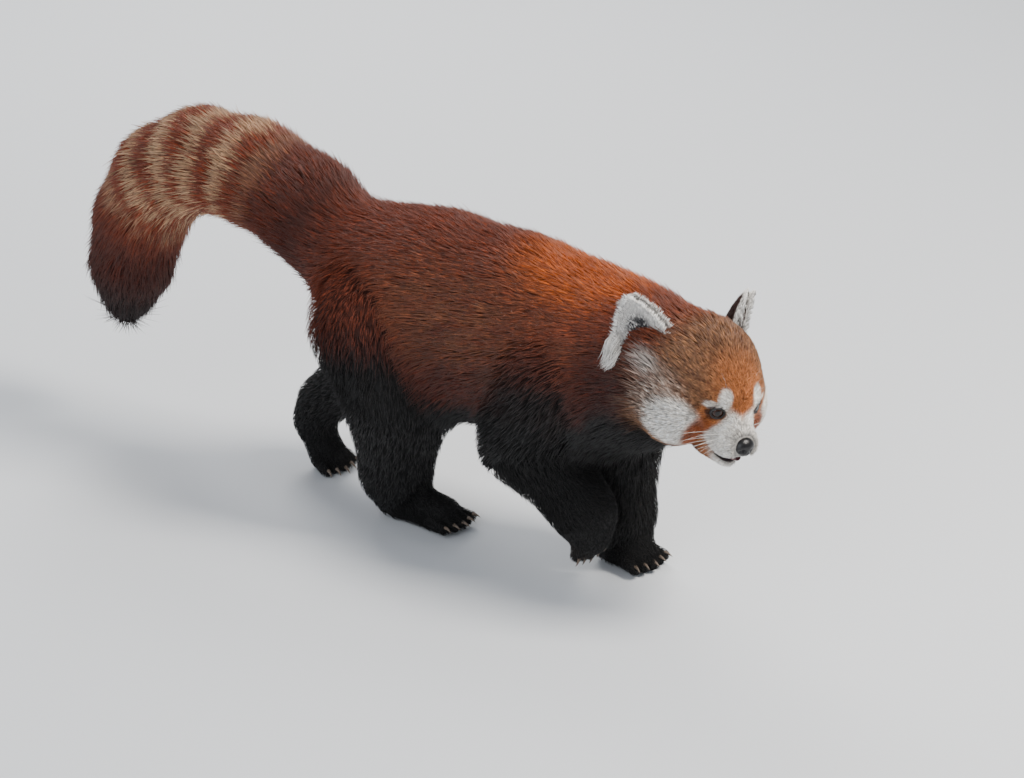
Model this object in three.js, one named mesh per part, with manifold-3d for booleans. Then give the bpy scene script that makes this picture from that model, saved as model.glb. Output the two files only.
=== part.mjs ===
// A life-size red panda in mid stride, as a still museum model, in millimetres.
// +X is the way the trunk faces, +Y its left side, +Z up. The floor is z = 0.
// The body is one smooth field of rounded bones and bulges, meshed part by part and
// divided by thin cuts where a person names its parts.
import * as THREE from "three";
import Module from "manifold-3d";
import { mergeVertices } from "three/addons/utils/BufferGeometryUtils.js";

// Driving dimensions
const GAP = 0.35; // between neighbours that touch
const SOLE = 0; // height of the floor
const TRACK = 24; // from the midline to the middle of a planted foot
const CENTRE = [142.4, 1.1]; // x and y added to the whole, so that its box is centred on the origin
const CELL = { torso: 32, neck: 26, leg: 20, paw: 15, head: 9.5, tail: 26, region: 30 }; // mesh size

// Trunk: points on its middle line with the coat's half depth, and its width as a share of its depth
const TRUNK_WIDTH = 0.8;
const TRUNK = [
  [-170, 0, 237, 89],
  [-106, 0, 231, 96],
  [-12, 0, 226, 98],
  [74, 0, 222, 91],
  [140, -8, 232, 76],
  [196, -18, 245, 55],
];

// Tail: middle line from the root to its end, with the radius out to the hair tips
const TAIL = [
  [-212, 0, 250, 54],
  [-291, 0, 300, 54],
  [-366, 0, 322, 54],
  [-435, 0, 321, 53],
  [-490, 0, 292, 52],
  [-525, 0, 236, 49],
  [-540, 0, 182, 44],
  [-547, 0, 144, 30],
];
const TAIL_CUTS_AT = [0.07, 0.27, 0.47, 0.66, 0.82]; // where the tail is divided, along its length

// Legs: shoulder or hip, elbow or knee, wrist or ankle, heel, and ball of the foot, each with the
// coat's radius there, then the toes: angles in degrees, sizes in mm
const LEGS = [
  {
    name: "front_left",
    top: [78, 40, 214, 58],
    bend: [84, 40, 142, 44],
    ankle: [100, 28, 50, 28],
    heel: [92, TRACK, 20, 22],
    ball: [116, TRACK, 13, 22],
    toes: { pitch: 8, yaw: -8, spread: 15, length: 15, radius: 8 },
  },
  {
    name: "front_right",
    top: [74, -42, 214, 58],
    bend: [28, -50, 138, 42],
    ankle: [98, -44, 82, 30],
    heel: [106, -42, 76, 24],
    ball: [107, -40, 54, 21],
    toes: { pitch: 96, yaw: 0, spread: 14, length: 13, radius: 8 },
  },
  {
    name: "hind_left",
    top: [-168, 40, 212, 74],
    bend: [-212, 44, 148, 54],
    ankle: [-300, 30, 72, 24],
    heel: [-310, TRACK, 50, 18],
    ball: [-290, TRACK, 17, 20],
    toes: { pitch: 28, yaw: 0, spread: 14, length: 17, radius: 7.5 },
  },
  {
    name: "hind_right",
    top: [-160, -40, 214, 76],
    bend: [-128, -50, 156, 60],
    ankle: [-150, -32, 52, 35],
    heel: [-152, -TRACK, 20, 21],
    ball: [-96, -TRACK, 14, 21],
    toes: { pitch: 8, yaw: 4, spread: 14, length: 17, radius: 7.5 },
  },
];
// How far the leg's node reaches round its bones: outward shift and radius as shares of the
// bone's radius, then mm added, at each of the five points above
const LEG_REACH = [[0.62, 0.98, 0], [0.35, 1, 4], [0, 1, 22], [0, 1, 26], [0, 1, 44]];
const CLAW = { length: 10, radius: 2.4, drop: 5 };

// Head: its middle and turn in the trunk's frame, and its bulges in its own frame, where x runs
// to the nose, y to its left and z up
const HEAD = { at: [232, -22, 232], yaw: -18.5, pitch: 11, roll: -6 };
const SKULL = [
  [[-15, 0, 13], [60, 58, 59]],
  [[24, 0, 13], [33, 38, 34]],
];
const CHEEK = [[-4, 35, -14], [42, 33, 36]];
const MUZZLE = [[34, 0, -10, 26], [59, 0, -21, 17]];
const LIP = [[56, 9, -24], [18, 14, 13]];
const JAW = [[22, 0, -36, 20], [51, 0, -42, 11]];
const EYE_HOLLOW = [[52, 26, 6], [9, 9, 9]];
const EYE = { at: [43, 20.5, 7], radius: 8.2, lid: 2.2, opening: [8, 6.6, 5.2] };
const NOSE = { at: [70, 0, -19], size: [8, 10, 8], nostril: [3.4, 2.2, 2.6] };
const MOUTH = { corner: [44, -34], upper: [92, -30], lower: [92, -43], throat: [27, -95] };
const TONGUE = { at: [54, 0, -36], size: [15, 9, 4], back: 5 };
// Ears: base and tip in the head's frame, the way the cup opens, and whether it is the near one
const EARS = [
  { name: "ear_right", base: [-42, -53, 30], tip: [-62, -72, 82], open: [0.6, -0.75, 0.1] },
  { name: "ear_left", base: [-27, 50, 38], tip: [-45, 69, 80], open: [0.5, 0.85, 0.1] },
];
const EAR = { halfWidth: 29, thickness: 5, curl: 58, sunk: 0.3 };

// Fields: signed distances in mm, negative inside
const length3 = (x, y, z) => Math.sqrt(x * x + y * y + z * z);

// A bone with a round end of its own radius at each end
function bone([ax, ay, az, ra], [bx, by, bz, rb], width = 1) {
  const [dx, dy, dz] = [bx - ax, (by - ay) / width, bz - az];
  const l2 = dx * dx + dy * dy + dz * dz;
  const rr = ra - rb;
  const a2 = l2 - rr * rr;
  return (x, y, z) => {
    const [px, py, pz] = [x - ax, (y - ay) / width, z - az];
    const along = px * dx + py * dy + pz * dz;
    const past = along - l2;
    const x2 = (px * l2 - dx * along) ** 2 + (py * l2 - dy * along) ** 2 + (pz * l2 - dz * along) ** 2;
    const k = Math.sign(rr) * rr * rr * x2;
    if (Math.sign(past) * a2 * past * past * l2 > k) return Math.sqrt(x2 + past * past * l2) / l2 - rb;
    if (Math.sign(along) * a2 * along * along * l2 < k) return Math.sqrt(x2 + along * along * l2) / l2 - ra;
    return (Math.sqrt((x2 * a2) / l2) + along * rr) / l2 - ra;
  };
}

function bulge([cx, cy, cz], [rx, ry, rz]) {
  return (x, y, z) => {
    const [px, py, pz] = [(x - cx) / rx, (y - cy) / ry, (z - cz) / rz];
    const k0 = length3(px, py, pz);
    const k1 = length3(px / rx, py / ry, pz / rz);
    return k1 === 0 ? -Math.min(rx, ry, rz) : (k0 * (k0 - 1)) / k1;
  };
}

const soft = (a, b, k) => Math.min(a, b) - (Math.max(k - Math.abs(a - b), 0) ** 2) / (4 * k);
const blend = (fields, k) => (x, y, z) => fields.map((f) => f(x, y, z)).reduce((a, b) => soft(a, b, k));
const dent = (field, hollow, k) => (x, y, z) => -soft(-field(x, y, z), hollow(x, y, z), k);
const chain = (points, width) => points.slice(1).map((p, i) => bone(points[i], p, width));

// The head's own frame in the trunk's
const degrees = THREE.MathUtils.degToRad;
const headMatrix = new THREE.Matrix4()
  .makeRotationFromEuler(new THREE.Euler(degrees(HEAD.roll), degrees(HEAD.pitch), degrees(HEAD.yaw), "ZYX"))
  .setPosition(...HEAD.at);
const headInverse = headMatrix.clone().invert().elements;
const inHead = (field) => (x, y, z) => {
  const e = headInverse;
  return field(
    e[0] * x + e[4] * y + e[8] * z + e[12],
    e[1] * x + e[5] * y + e[9] * z + e[13],
    e[2] * x + e[6] * y + e[10] * z + e[14],
  );
};
const mirrored = ([centre, size], side) => bulge([centre[0], side * centre[1], centre[2]], size);

// The parts' fields
const trunk = blend(chain(TRUNK, TRUNK_WIDTH), 30);
const headField = inHead(
  dent(
    dent(
      blend(
        [
          blend([...SKULL.map((s) => bulge(...s)), mirrored(CHEEK, 1), mirrored(CHEEK, -1)], 16),
          bone(...MUZZLE),
          mirrored(LIP, 1),
          mirrored(LIP, -1),
          bone(...JAW),
        ],
        9,
      ),
      mirrored(EYE_HOLLOW, 1),
      5,
    ),
    mirrored(EYE_HOLLOW, -1),
    5,
  ),
);

const legField = (leg) =>
  blend(
    [blend([bone(leg.top, leg.bend), bone(leg.bend, leg.ankle), bone(leg.ankle, leg.heel)], 16), bone(leg.heel, leg.ball)],
    12,
  );
const legFields = LEGS.map(legField);
const body = (x, y, z) => {
  let d = soft(trunk(x, y, z), headField(x, y, z), 22);
  for (const f of legFields) d = soft(d, f(x, y, z), 26);
  return d;
};
const tailLine = new THREE.CatmullRomCurve3(TAIL.map(([x, y, z]) => new THREE.Vector3(x, y, z)), false, "centripetal");
const tailField = blend(chain(TAIL), 12);
const withTail = (x, y, z) => soft(body(x, y, z), tailField(x, y, z), 26);

// Whether each edge of a mesh lies between exactly two faces
function closed(index) {
  const uses = new Map();
  for (let t = 0; t < index.length; t += 3)
    for (const [i, j] of [[0, 1], [1, 2], [2, 0]]) {
      const key = [index[t + i], index[t + j]].sort((a, b) => a - b).join();
      uses.set(key, (uses.get(key) ?? 0) + 1);
    }
  return [...uses.values()].every((n) => n === 2);
}

// Meshing: one vertex in each grid cell that the surface crosses, drawn on to the surface. Where
// two sheets share an edge, the grid is moved a little and the mesh made again.
const SHIFTS = [0, 0.31, 0.53, 0.77, 0.17, 0.91];
function meshOf(field, low, high, cell) {
  for (const shift of SHIFTS) {
    const geometry = netOf(field, low.map((v) => v - shift * cell), high, cell);
    if (closed(geometry.index.array)) return geometry;
  }
  throw new Error("no closed mesh at cell " + cell);
}

function netOf(field, [x0, y0, z0], [x1, y1, z1], cell) {
  const n = [x1 - x0, y1 - y0, z1 - z0].map((s) => Math.ceil(s / cell) + 1);
  const at = (i, j, k) => (i * n[1] + j) * n[2] + k;
  const place = (i, j, k) => [x0 + i * cell, y0 + j * cell, z0 + k * cell];
  const value = new Float64Array(n[0] * n[1] * n[2]);
  for (let i = 0; i < n[0]; i++)
    for (let j = 0; j < n[1]; j++)
      for (let k = 0; k < n[2]; k++) {
        const edge = i === 0 || j === 0 || k === 0 || i === n[0] - 1 || j === n[1] - 1 || k === n[2] - 1;
        value[at(i, j, k)] = edge ? Math.max(field(...place(i, j, k)), cell * 0.05) : field(...place(i, j, k));
      }
  const corners = [0, 1, 2, 3, 4, 5, 6, 7].map((c) => [c & 1, (c >> 1) & 1, (c >> 2) & 1]);
  const vertexOf = new Map();
  const positions = [];
  for (let i = 0; i < n[0] - 1; i++)
    for (let j = 0; j < n[1] - 1; j++)
      for (let k = 0; k < n[2] - 1; k++) {
        const sum = [0, 0, 0];
        let count = 0;
        corners.forEach((a, ca) =>
          [0, 1, 2].forEach((axis) => {
            if (a[axis]) return;
            const b = corners[ca | (1 << axis)];
            const va = value[at(i + a[0], j + a[1], k + a[2])];
            const vb = value[at(i + b[0], j + b[1], k + b[2])];
            if (va < 0 === vb < 0) return;
            const t = va / (va - vb);
            for (let m = 0; m < 3; m++) sum[m] += a[m] + (b[m] - a[m]) * t;
            count++;
          }),
        );
        if (!count) continue;
        vertexOf.set(at(i, j, k), positions.length / 3);
        const p = place(i, j, k).map((v, m) => v + (sum[m] / count) * cell);
        positions.push(...drawn(field, p, cell));
      }
  const index = [];
  for (let i = 0; i < n[0]; i++)
    for (let j = 0; j < n[1]; j++)
      for (let k = 0; k < n[2]; k++)
        [0, 1, 2].forEach((axis) => {
          const next = [i, j, k].map((v, m) => v + (m === axis ? 1 : 0));
          if (next[axis] >= n[axis]) return;
          const inside = value[at(i, j, k)] < 0;
          if (inside === value[at(...next)] < 0) return;
          const [u, w] = [(axis + 1) % 3, (axis + 2) % 3];
          const ring = [[0, 0], [-1, 0], [-1, -1], [0, -1]].map(([a, b]) => {
            const c = [i, j, k];
            c[u] += a;
            c[w] += b;
            return vertexOf.get(at(...c));
          });
          if (inside) ring.reverse();
          index.push(ring[0], ring[2], ring[1], ring[0], ring[3], ring[2]);
        });
  const geometry = new THREE.BufferGeometry();
  geometry.setAttribute("position", new THREE.Float32BufferAttribute(positions, 3));
  geometry.setIndex(index);
  return geometry;
}

// Moves a point on to the surface along the field's slope, by at most half a cell
function drawn(field, point, cell) {
  let p = point;
  for (let step = 0; step < 3; step++) {
    const h = 0.5;
    const d = field(...p);
    const slope = [0, 1, 2].map((m) => {
      const q = [...p];
      q[m] += h;
      return (field(...q) - d) / h;
    });
    const steep = Math.max(length3(...slope) ** 2, 0.2);
    p = p.map((v, m) => v - (d * slope[m]) / steep);
  }
  return length3(p[0] - point[0], p[1] - point[1], p[2] - point[2]) < cell * 0.5 ? p : point;
}

// Solids
const wasm = await Module();
wasm.setup();
const { Manifold, Mesh } = wasm;

function solidOf(geometry, matrix = new THREE.Matrix4()) {
  const plain = geometry.index ? geometry.toNonIndexed() : geometry.clone();
  for (const name of Object.keys(plain.attributes)) if (name !== "position") plain.deleteAttribute(name);
  const merged = mergeVertices(plain.applyMatrix4(matrix), 1e-4);
  return new Manifold(
    new Mesh({ numProp: 3, vertProperties: merged.attributes.position.array, triVerts: new Uint32Array(merged.index.array) }),
  );
}

// Keeps a node one closed body: its largest closed surface
function largest(solid) {
  const bodies = solid.decompose();
  return bodies.reduce((a, b) => (a.volume() > b.volume() ? a : b));
}

// A node's final mesh: corners that cuts leave very close together are drawn into one, where
// the mesh stays closed
const TINY = [0.03, 0.01, 0.003, 0];
function finished(solid) {
  const { vertProperties: at, triVerts } = solid.getMesh();
  const index = TINY.map((reach) => welded(at, triVerts, reach)).find(closed);
  const geometry = new THREE.BufferGeometry();
  geometry.setAttribute("position", new THREE.Float32BufferAttribute(at, 3));
  geometry.setIndex(index ?? [...triVerts]);
  return geometry;
}

function welded(at, triVerts, reach) {
  const owner = Array.from({ length: at.length / 3 }, (_, i) => i);
  const find = (i) => {
    while (owner[i] !== i) i = owner[i];
    return i;
  };
  for (let t = 0; t < triVerts.length; t += 3)
    for (const [i, j] of [[0, 1], [1, 2], [2, 0]]) {
      const [a, b] = [find(triVerts[t + i]), find(triVerts[t + j])];
      const apart = length3(at[3 * a] - at[3 * b], at[3 * a + 1] - at[3 * b + 1], at[3 * a + 2] - at[3 * b + 2]);
      if (a !== b && apart < reach) owner[b] = a;
    }
  const faces = new Map();
  for (let t = 0; t < triVerts.length; t += 3) {
    const face = [0, 1, 2].map((i) => find(triVerts[t + i]));
    if (new Set(face).size < 3) continue;
    const key = [...face].sort((a, b) => a - b).join();
    if (faces.has(key)) faces.delete(key);
    else faces.set(key, face);
  }
  return [...faces.values()].flat();
}

// The solid with every vertex moved out by a little, to cut a neighbour clear of it
function grown(solid, by) {
  const mesh = solid.getMesh();
  const geometry = new THREE.BufferGeometry();
  geometry.setAttribute("position", new THREE.Float32BufferAttribute(mesh.vertProperties, 3));
  geometry.setIndex([...mesh.triVerts]);
  geometry.computeVertexNormals();
  const [p, n] = [geometry.attributes.position, geometry.attributes.normal];
  for (let i = 0; i < p.count; i++) p.setXYZ(i, p.getX(i) + n.getX(i) * by, p.getY(i) + n.getY(i) * by, p.getZ(i) + n.getZ(i) * by);
  return solidOf(geometry);
}

// Half space, as a big box whose face passes through a point, on the side its normal points to
const BIG = 1600;
function half(point, normal, back = 0) {
  const n = new THREE.Vector3(...normal).normalize();
  const turn = new THREE.Quaternion().setFromUnitVectors(new THREE.Vector3(0, 0, 1), n);
  const centre = new THREE.Vector3(...point).addScaledVector(n, BIG / 2 + back);
  return solidOf(new THREE.BoxGeometry(BIG, BIG, BIG), new THREE.Matrix4().compose(centre, turn, new THREE.Vector3(1, 1, 1)));
}

// An ellipsoid with its first size along a direction
function egg(centre, size, along = [1, 0, 0], sides = 8, rows = 6) {
  const turn = new THREE.Quaternion().setFromUnitVectors(
    new THREE.Vector3(1, 0, 0),
    new THREE.Vector3(...along).normalize(),
  );
  const matrix = new THREE.Matrix4().compose(new THREE.Vector3(...centre), turn, new THREE.Vector3(...size));
  return solidOf(new THREE.SphereGeometry(1, sides, rows), matrix);
}

// A closed skin over rings of points, with a cap at each end
function loft(rings) {
  const n = rings[0].length;
  const positions = rings.flat().flatMap((p) => p.toArray());
  const index = [];
  for (let r = 0; r + 1 < rings.length; r++)
    for (let i = 0; i < n; i++) {
      const [a, b] = [r * n + i, r * n + ((i + 1) % n)];
      index.push(a, b, b + n, a, b + n, a + n);
    }
  [rings[0], rings.at(-1)].forEach((ring, end) => {
    const middle = ring.reduce((sum, p) => sum.add(p), new THREE.Vector3()).divideScalar(n);
    const hub = positions.length / 3;
    positions.push(...middle.toArray());
    const first = end * (rings.length - 1) * n;
    for (let i = 0; i < n; i++) {
      const [a, b] = [first + i, first + ((i + 1) % n)];
      if (end) index.push(a, b, hub);
      else index.push(b, a, hub);
    }
  });
  const geometry = new THREE.BufferGeometry();
  geometry.setAttribute("position", new THREE.Float32BufferAttribute(positions, 3));
  geometry.setIndex(index);
  return geometry;
}

const headPoint = (p) => new THREE.Vector3(...p).applyMatrix4(headMatrix).toArray();
const headWay = (p) => new THREE.Vector3(...p).transformDirection(headMatrix).toArray();
const solids = new Map();

// Cuts between trunk, neck, head and tail: a point, and the way towards the far part
const NECK_CUT = [[134, -6, 230], [0.98, -0.16, 0.06]];
const HEAD_CUT = [headPoint([-46, 0, 0]), headWay([1, 0, 0.25])];
const TAIL_CUTS = TAIL_CUTS_AT.map((t) => [tailLine.getPointAt(t).toArray(), tailLine.getTangentAt(t).toArray()]);
const side = ([point, way], sign) => half(point, way.map((v) => v * sign), GAP / 2);

// A leg's region: a fat hull round its bones, on its own side of the midline
const bonesOf = (leg) => [leg.top, leg.bend, leg.ankle, leg.heel, leg.ball];
function around(points, margin) {
  const low = [0, 1, 2].map((m) => Math.min(...points.map((p) => p[m] - p[3])) - margin);
  const high = [0, 1, 2].map((m) => Math.max(...points.map((p) => p[m] + p[3])) + margin);
  return [low, high];
}
function legRegion(leg) {
  const s = Math.sign(leg.top[1]);
  const points = bonesOf(leg).map(([x, y, z, r], i) => {
    const [shift, share, more] = LEG_REACH[i];
    return [x, y + s * shift * r, z, share * r + more];
  });
  const hull = solidOf(meshOf(blend(chain(points), 10), ...around(points, CELL.region), CELL.region));
  return hull.intersect(half([0, 0, 0], [0, s, 0], GAP / 2));
}

// Trunk
const regions = LEGS.map(legRegion);
const trunkWhole = solidOf(meshOf(withTail, [-300, -120, 80], [240, 120, 370], CELL.torso));
let torso = trunkWhole.intersect(side(NECK_CUT, -1)).intersect(side(TAIL_CUTS[0], -1));
for (const region of regions) torso = torso.subtract(grown(region, GAP * 2.5));
solids.set("torso", largest(torso));

// Five toes and claws, spread from the ball of the foot
const TOES = [-2, -1, 0, 1, 2];
function toesOf(leg) {
  const { pitch, yaw, spread, length, radius } = leg.toes;
  return TOES.flatMap((n) => {
    const turn = degrees(yaw + n * spread * 0.5);
    const dip = degrees(pitch);
    const reach = leg.ball[3] * 0.45 + length - Math.abs(n) * 2;
    const root = [leg.ball[0], leg.ball[1] + n * spread * 0.62, leg.ball[2] - 1];
    const way = [Math.cos(turn) * Math.cos(dip), Math.sin(turn), -Math.sin(dip) * Math.cos(turn)];
    const at = (d) => root.map((v, m) => v + way[m] * d);
    const toe = egg(at(reach / 2 + 2), [reach / 2 + radius * 0.9, radius, radius], way, 6, 5);
    return [toe, claw(at(reach + radius * 0.2), way, radius)];
  });
}

function claw(root, way, toeRadius) {
  const along = new THREE.Vector3(...way);
  const across = new THREE.Vector3(0, 1, 0);
  const down = new THREE.Vector3().crossVectors(across, along).normalize();
  const rings = [0, 0.5, 1].map((t) => {
    const centre = new THREE.Vector3(...root)
      .addScaledVector(along, CLAW.length * t)
      .addScaledVector(down, CLAW.drop * t * t - toeRadius * 0.3);
    const r = CLAW.radius * (1 - t * 0.8);
    return [0, 1, 2, 3, 4].map((i) => {
      const a = (-i / 5) * 2 * Math.PI;
      return centre.clone().addScaledVector(across, r * 0.7 * Math.cos(a)).addScaledVector(down, r * Math.sin(a));
    });
  });
  return solidOf(loft(rings));
}

// Legs, each in three lengths
LEGS.forEach((leg, i) => {
  const whole = solidOf(meshOf(withTail, ...around(bonesOf(leg), 22), CELL.leg)).intersect(regions[i]);
  const own = (a, b, t) => [0, 1, 2].map((m) => a[m] + (b[m] - a[m]) * t);
  const way = (a, b) => [0, 1, 2].map((m) => b[m] - a[m]);
  const bendWay = new THREE.Vector3(...way(leg.top, leg.bend)).normalize();
  bendWay.add(new THREE.Vector3(...way(leg.bend, leg.ankle)).normalize());
  const bendCut = [own(leg.bend, leg.ankle, 0.22), bendWay.toArray()];
  const pawCut = [own(leg.ankle, leg.heel, 0.25), way(leg.bend, leg.ankle)];
  const floor = half([0, 0, SOLE], [0, 0, 1]);
  const limb = whole.intersect(side(NECK_CUT, -1)).intersect(floor);
  solids.set(leg.name + "_upper_leg", largest(limb.intersect(side(bendCut, -1)).intersect(side(TAIL_CUTS[0], -1))));
  solids.set(leg.name + "_lower_leg", largest(limb.intersect(side(bendCut, 1)).intersect(side(pawCut, -1))));
  const fine = solidOf(meshOf(legFields[i], ...around([leg.ankle, leg.heel, leg.ball], 24), CELL.paw));
  const foot = toesOf(leg).reduce((sum, piece) => sum.add(piece), fine.intersect(side(pawCut, 1)));
  solids.set(leg.name + "_paw", largest(foot.intersect(floor)));
});

// Neck
const neckWhole = solidOf(meshOf(body, [90, -140, 110], [280, 110, 340], CELL.neck));
solids.set("neck", largest(neckWhole.intersect(side(NECK_CUT, 1)).intersect(side(HEAD_CUT, -1))));

// Head, with the cup of each eye between its lids, the nose's seat and the mouth
const MOUTH_HALF = 60;
function prism(corners) {
  const shape = new THREE.Shape(corners.map(([x, z]) => new THREE.Vector2(x, z)));
  const geometry = new THREE.ExtrudeGeometry(shape, { depth: 2 * MOUTH_HALF, bevelEnabled: false });
  geometry.translate(0, 0, -MOUTH_HALF).rotateX(Math.PI / 2);
  return solidOf(geometry, headMatrix);
}
const headCorner = headPoint([0, 0, 0]);
const headWhole = solidOf(
  meshOf(body, headCorner.map((v, m) => v - [80, 100, 84][m]), headCorner.map((v, m) => v + [100, 90, 90][m]), CELL.head),
).intersect(side(HEAD_CUT, 1));
const ball = (centre, radius, sides = 12) => egg(headPoint(centre), [radius, radius, radius], [1, 0, 0], sides, sides - 2);
const eyes = [1, -1].map((s) => [EYE.at[0], s * EYE.at[1], EYE.at[2]]);
let head = headWhole;
for (const at of eyes) head = head.add(ball(at, EYE.radius + EYE.lid));
for (const at of eyes) {
  const s = Math.sign(at[1]);
  const open = headPoint([at[0] + EYE.radius, at[1] + s * EYE.radius * 0.35, at[2]]);
  head = head.subtract(ball(at, EYE.radius + GAP, 12)).subtract(egg(open, EYE.opening, headWay([1, s * 0.35, 0]), 12, 8));
}
const { corner, upper, lower, throat } = MOUTH;
const jawEdge = [corner[0] + GAP, corner[1] - GAP];
head = head.subtract(prism([corner, [throat[0], throat[1]], [upper[0], throat[1]], upper]));
const nosePad = egg(headPoint(NOSE.at), NOSE.size, headWay([1, 0, 0]), 12, 8);
head = head.subtract(grown(nosePad, GAP));
head = largest(head);
solids.set("head", head);
solids.set("jaw", largest(headWhole.intersect(prism([jawEdge, [throat[0] + 1.2, throat[1]], [lower[0], throat[1]], lower]))));
const tongue = egg(headPoint(TONGUE.at), TONGUE.size, headWay([1, 0, 0]), 10, 6);
const lineAt = (x, from, to) => from[1] + ((x - from[0]) * (to[1] - from[1])) / (to[0] - from[0]);
const back = corner[0] + TONGUE.back;
const mouthSpace = prism([
  [back, lineAt(back, jawEdge, lower) + GAP],
  [lower[0], lower[1] + GAP],
  [upper[0], upper[1] - GAP],
  [back, lineAt(back, corner, upper) - GAP],
]);
solids.set("tongue", largest(tongue.intersect(mouthSpace)));
let nose = nosePad;
for (const s of [1, -1]) {
  const hole = [NOSE.at[0] + NOSE.size[0] * 0.72, s * NOSE.size[1] * 0.42, NOSE.at[2] - 0.6];
  nose = nose.subtract(egg(headPoint(hole), NOSE.nostril, headWay([1, s * 0.6, 0]), 8, 6));
}
solids.set("nose", largest(nose));
["eye_left", "eye_right"].forEach((name, i) => solids.set(name, ball(eyes[i], EYE.radius, 12)));

// Ears: a cup of even thickness, curled round its height
const EAR_ROWS = [-EAR.sunk, 0.05, 0.3, 0.52, 0.72, 0.88, 0.97];
const EAR_COLUMNS = [-1, -0.7, -0.35, 0, 0.35, 0.7, 1];
for (const { name, base, tip, open } of EARS) {
  const height = new THREE.Vector3(...tip).sub(new THREE.Vector3(...base));
  const up = height.clone().normalize();
  const front = new THREE.Vector3(...open);
  front.addScaledVector(up, -front.dot(up)).normalize();
  const across = new THREE.Vector3().crossVectors(up, front);
  const curl = degrees(EAR.curl);
  const rings = EAR_ROWS.map((v) => {
    const width = EAR.halfWidth * (1 - Math.max(v, 0) ** 1.8) ** 0.8;
    const at = (u, set) =>
      new THREE.Vector3(...base)
        .addScaledVector(height, v)
        .addScaledVector(across, (width * Math.sin(u * curl)) / Math.sin(curl))
        .addScaledVector(front, (-width * (Math.cos(u * curl) - Math.cos(curl))) / Math.sin(curl) - set);
    const back = EAR_COLUMNS.map((u) => at(u, EAR.thickness * (1 - Math.abs(u) * 0.4)));
    return [...back, ...EAR_COLUMNS.map((u) => at(-u, 0))].reverse();
  });
  const shell = solidOf(loft(rings), headMatrix);
  solids.set(name, largest(shell.subtract(grown(head, GAP)).subtract(grown(solids.get("neck"), GAP))));
}

// Tail
const tailWhole = solidOf(meshOf(withTail, [-620, -80, 90], [-180, 80, 400], CELL.tail));
TAIL_CUTS.forEach((cut, i) => {
  let piece = tailWhole.intersect(side(cut, 1));
  if (i + 1 < TAIL_CUTS.length) piece = piece.intersect(side(TAIL_CUTS[i + 1], -1));
  solids.set("tail_" + (i + 1), largest(piece));
});

// The finished group: each node's colour, by the first name that it holds
const COLOURS = {
  torso: 0x7a3416,
  neck: 0x6a2c16,
  tail: 0x7a3416,
  paw: 0x15100f,
  leg: 0x15100f,
  jaw: 0xe8e2d8,
  head: 0xb06a34,
  ear: 0xe8e2d8,
  eye: 0x140c0a,
  nose: 0x18161a,
  tongue: 0x8a4a4c,
};
const group = new THREE.Group();
for (const [name, solid] of solids) {
  const geometry = finished(solid).toNonIndexed();
  geometry.computeVertexNormals();
  const kind = Object.keys(COLOURS).find((k) => name.includes(k));
  const material = new THREE.MeshStandardMaterial({ color: COLOURS[kind], roughness: 0.9, metalness: 0 });
  const node = new THREE.Mesh(geometry, material);
  node.name = name;
  group.add(node);
}
group.position.set(...CENTRE, 0);

export default group;
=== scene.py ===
# %% [markdown]
# # A red panda in mid stride
# This lesson dresses a life-size red panda for a museum case. The imported solids give its size and
# pose, and hold it up in the physics. Here the same rounded bones and bulges are used again,
# a little thinner, as one skin with no seams, and on it grows a coat of about 140,000 small tufts.
# The solids are loaded first, because nothing here may stand outside them by more than fur can.

# %% Load the solids
import math

import bpy
import numpy as np
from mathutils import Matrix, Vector


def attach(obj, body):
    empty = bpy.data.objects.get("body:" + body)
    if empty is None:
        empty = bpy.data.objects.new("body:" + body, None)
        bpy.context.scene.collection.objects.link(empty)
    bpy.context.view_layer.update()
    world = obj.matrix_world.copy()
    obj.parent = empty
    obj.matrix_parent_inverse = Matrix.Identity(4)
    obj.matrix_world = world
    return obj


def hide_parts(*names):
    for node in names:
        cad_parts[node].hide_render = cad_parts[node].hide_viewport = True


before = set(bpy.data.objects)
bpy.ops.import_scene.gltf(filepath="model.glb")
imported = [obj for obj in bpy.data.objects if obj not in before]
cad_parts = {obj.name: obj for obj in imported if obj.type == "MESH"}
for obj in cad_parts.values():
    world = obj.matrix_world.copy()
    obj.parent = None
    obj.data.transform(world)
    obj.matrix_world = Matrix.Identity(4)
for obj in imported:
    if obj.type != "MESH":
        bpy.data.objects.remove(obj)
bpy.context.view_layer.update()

# %% [markdown]
# All sizes below are in millimetres in the trunk's own frame: +X is the way the trunk faces, +Y its
# left, +Z up, and the floor is z = 0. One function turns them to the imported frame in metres, so
# that every number can be compared with a tape measure.

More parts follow.
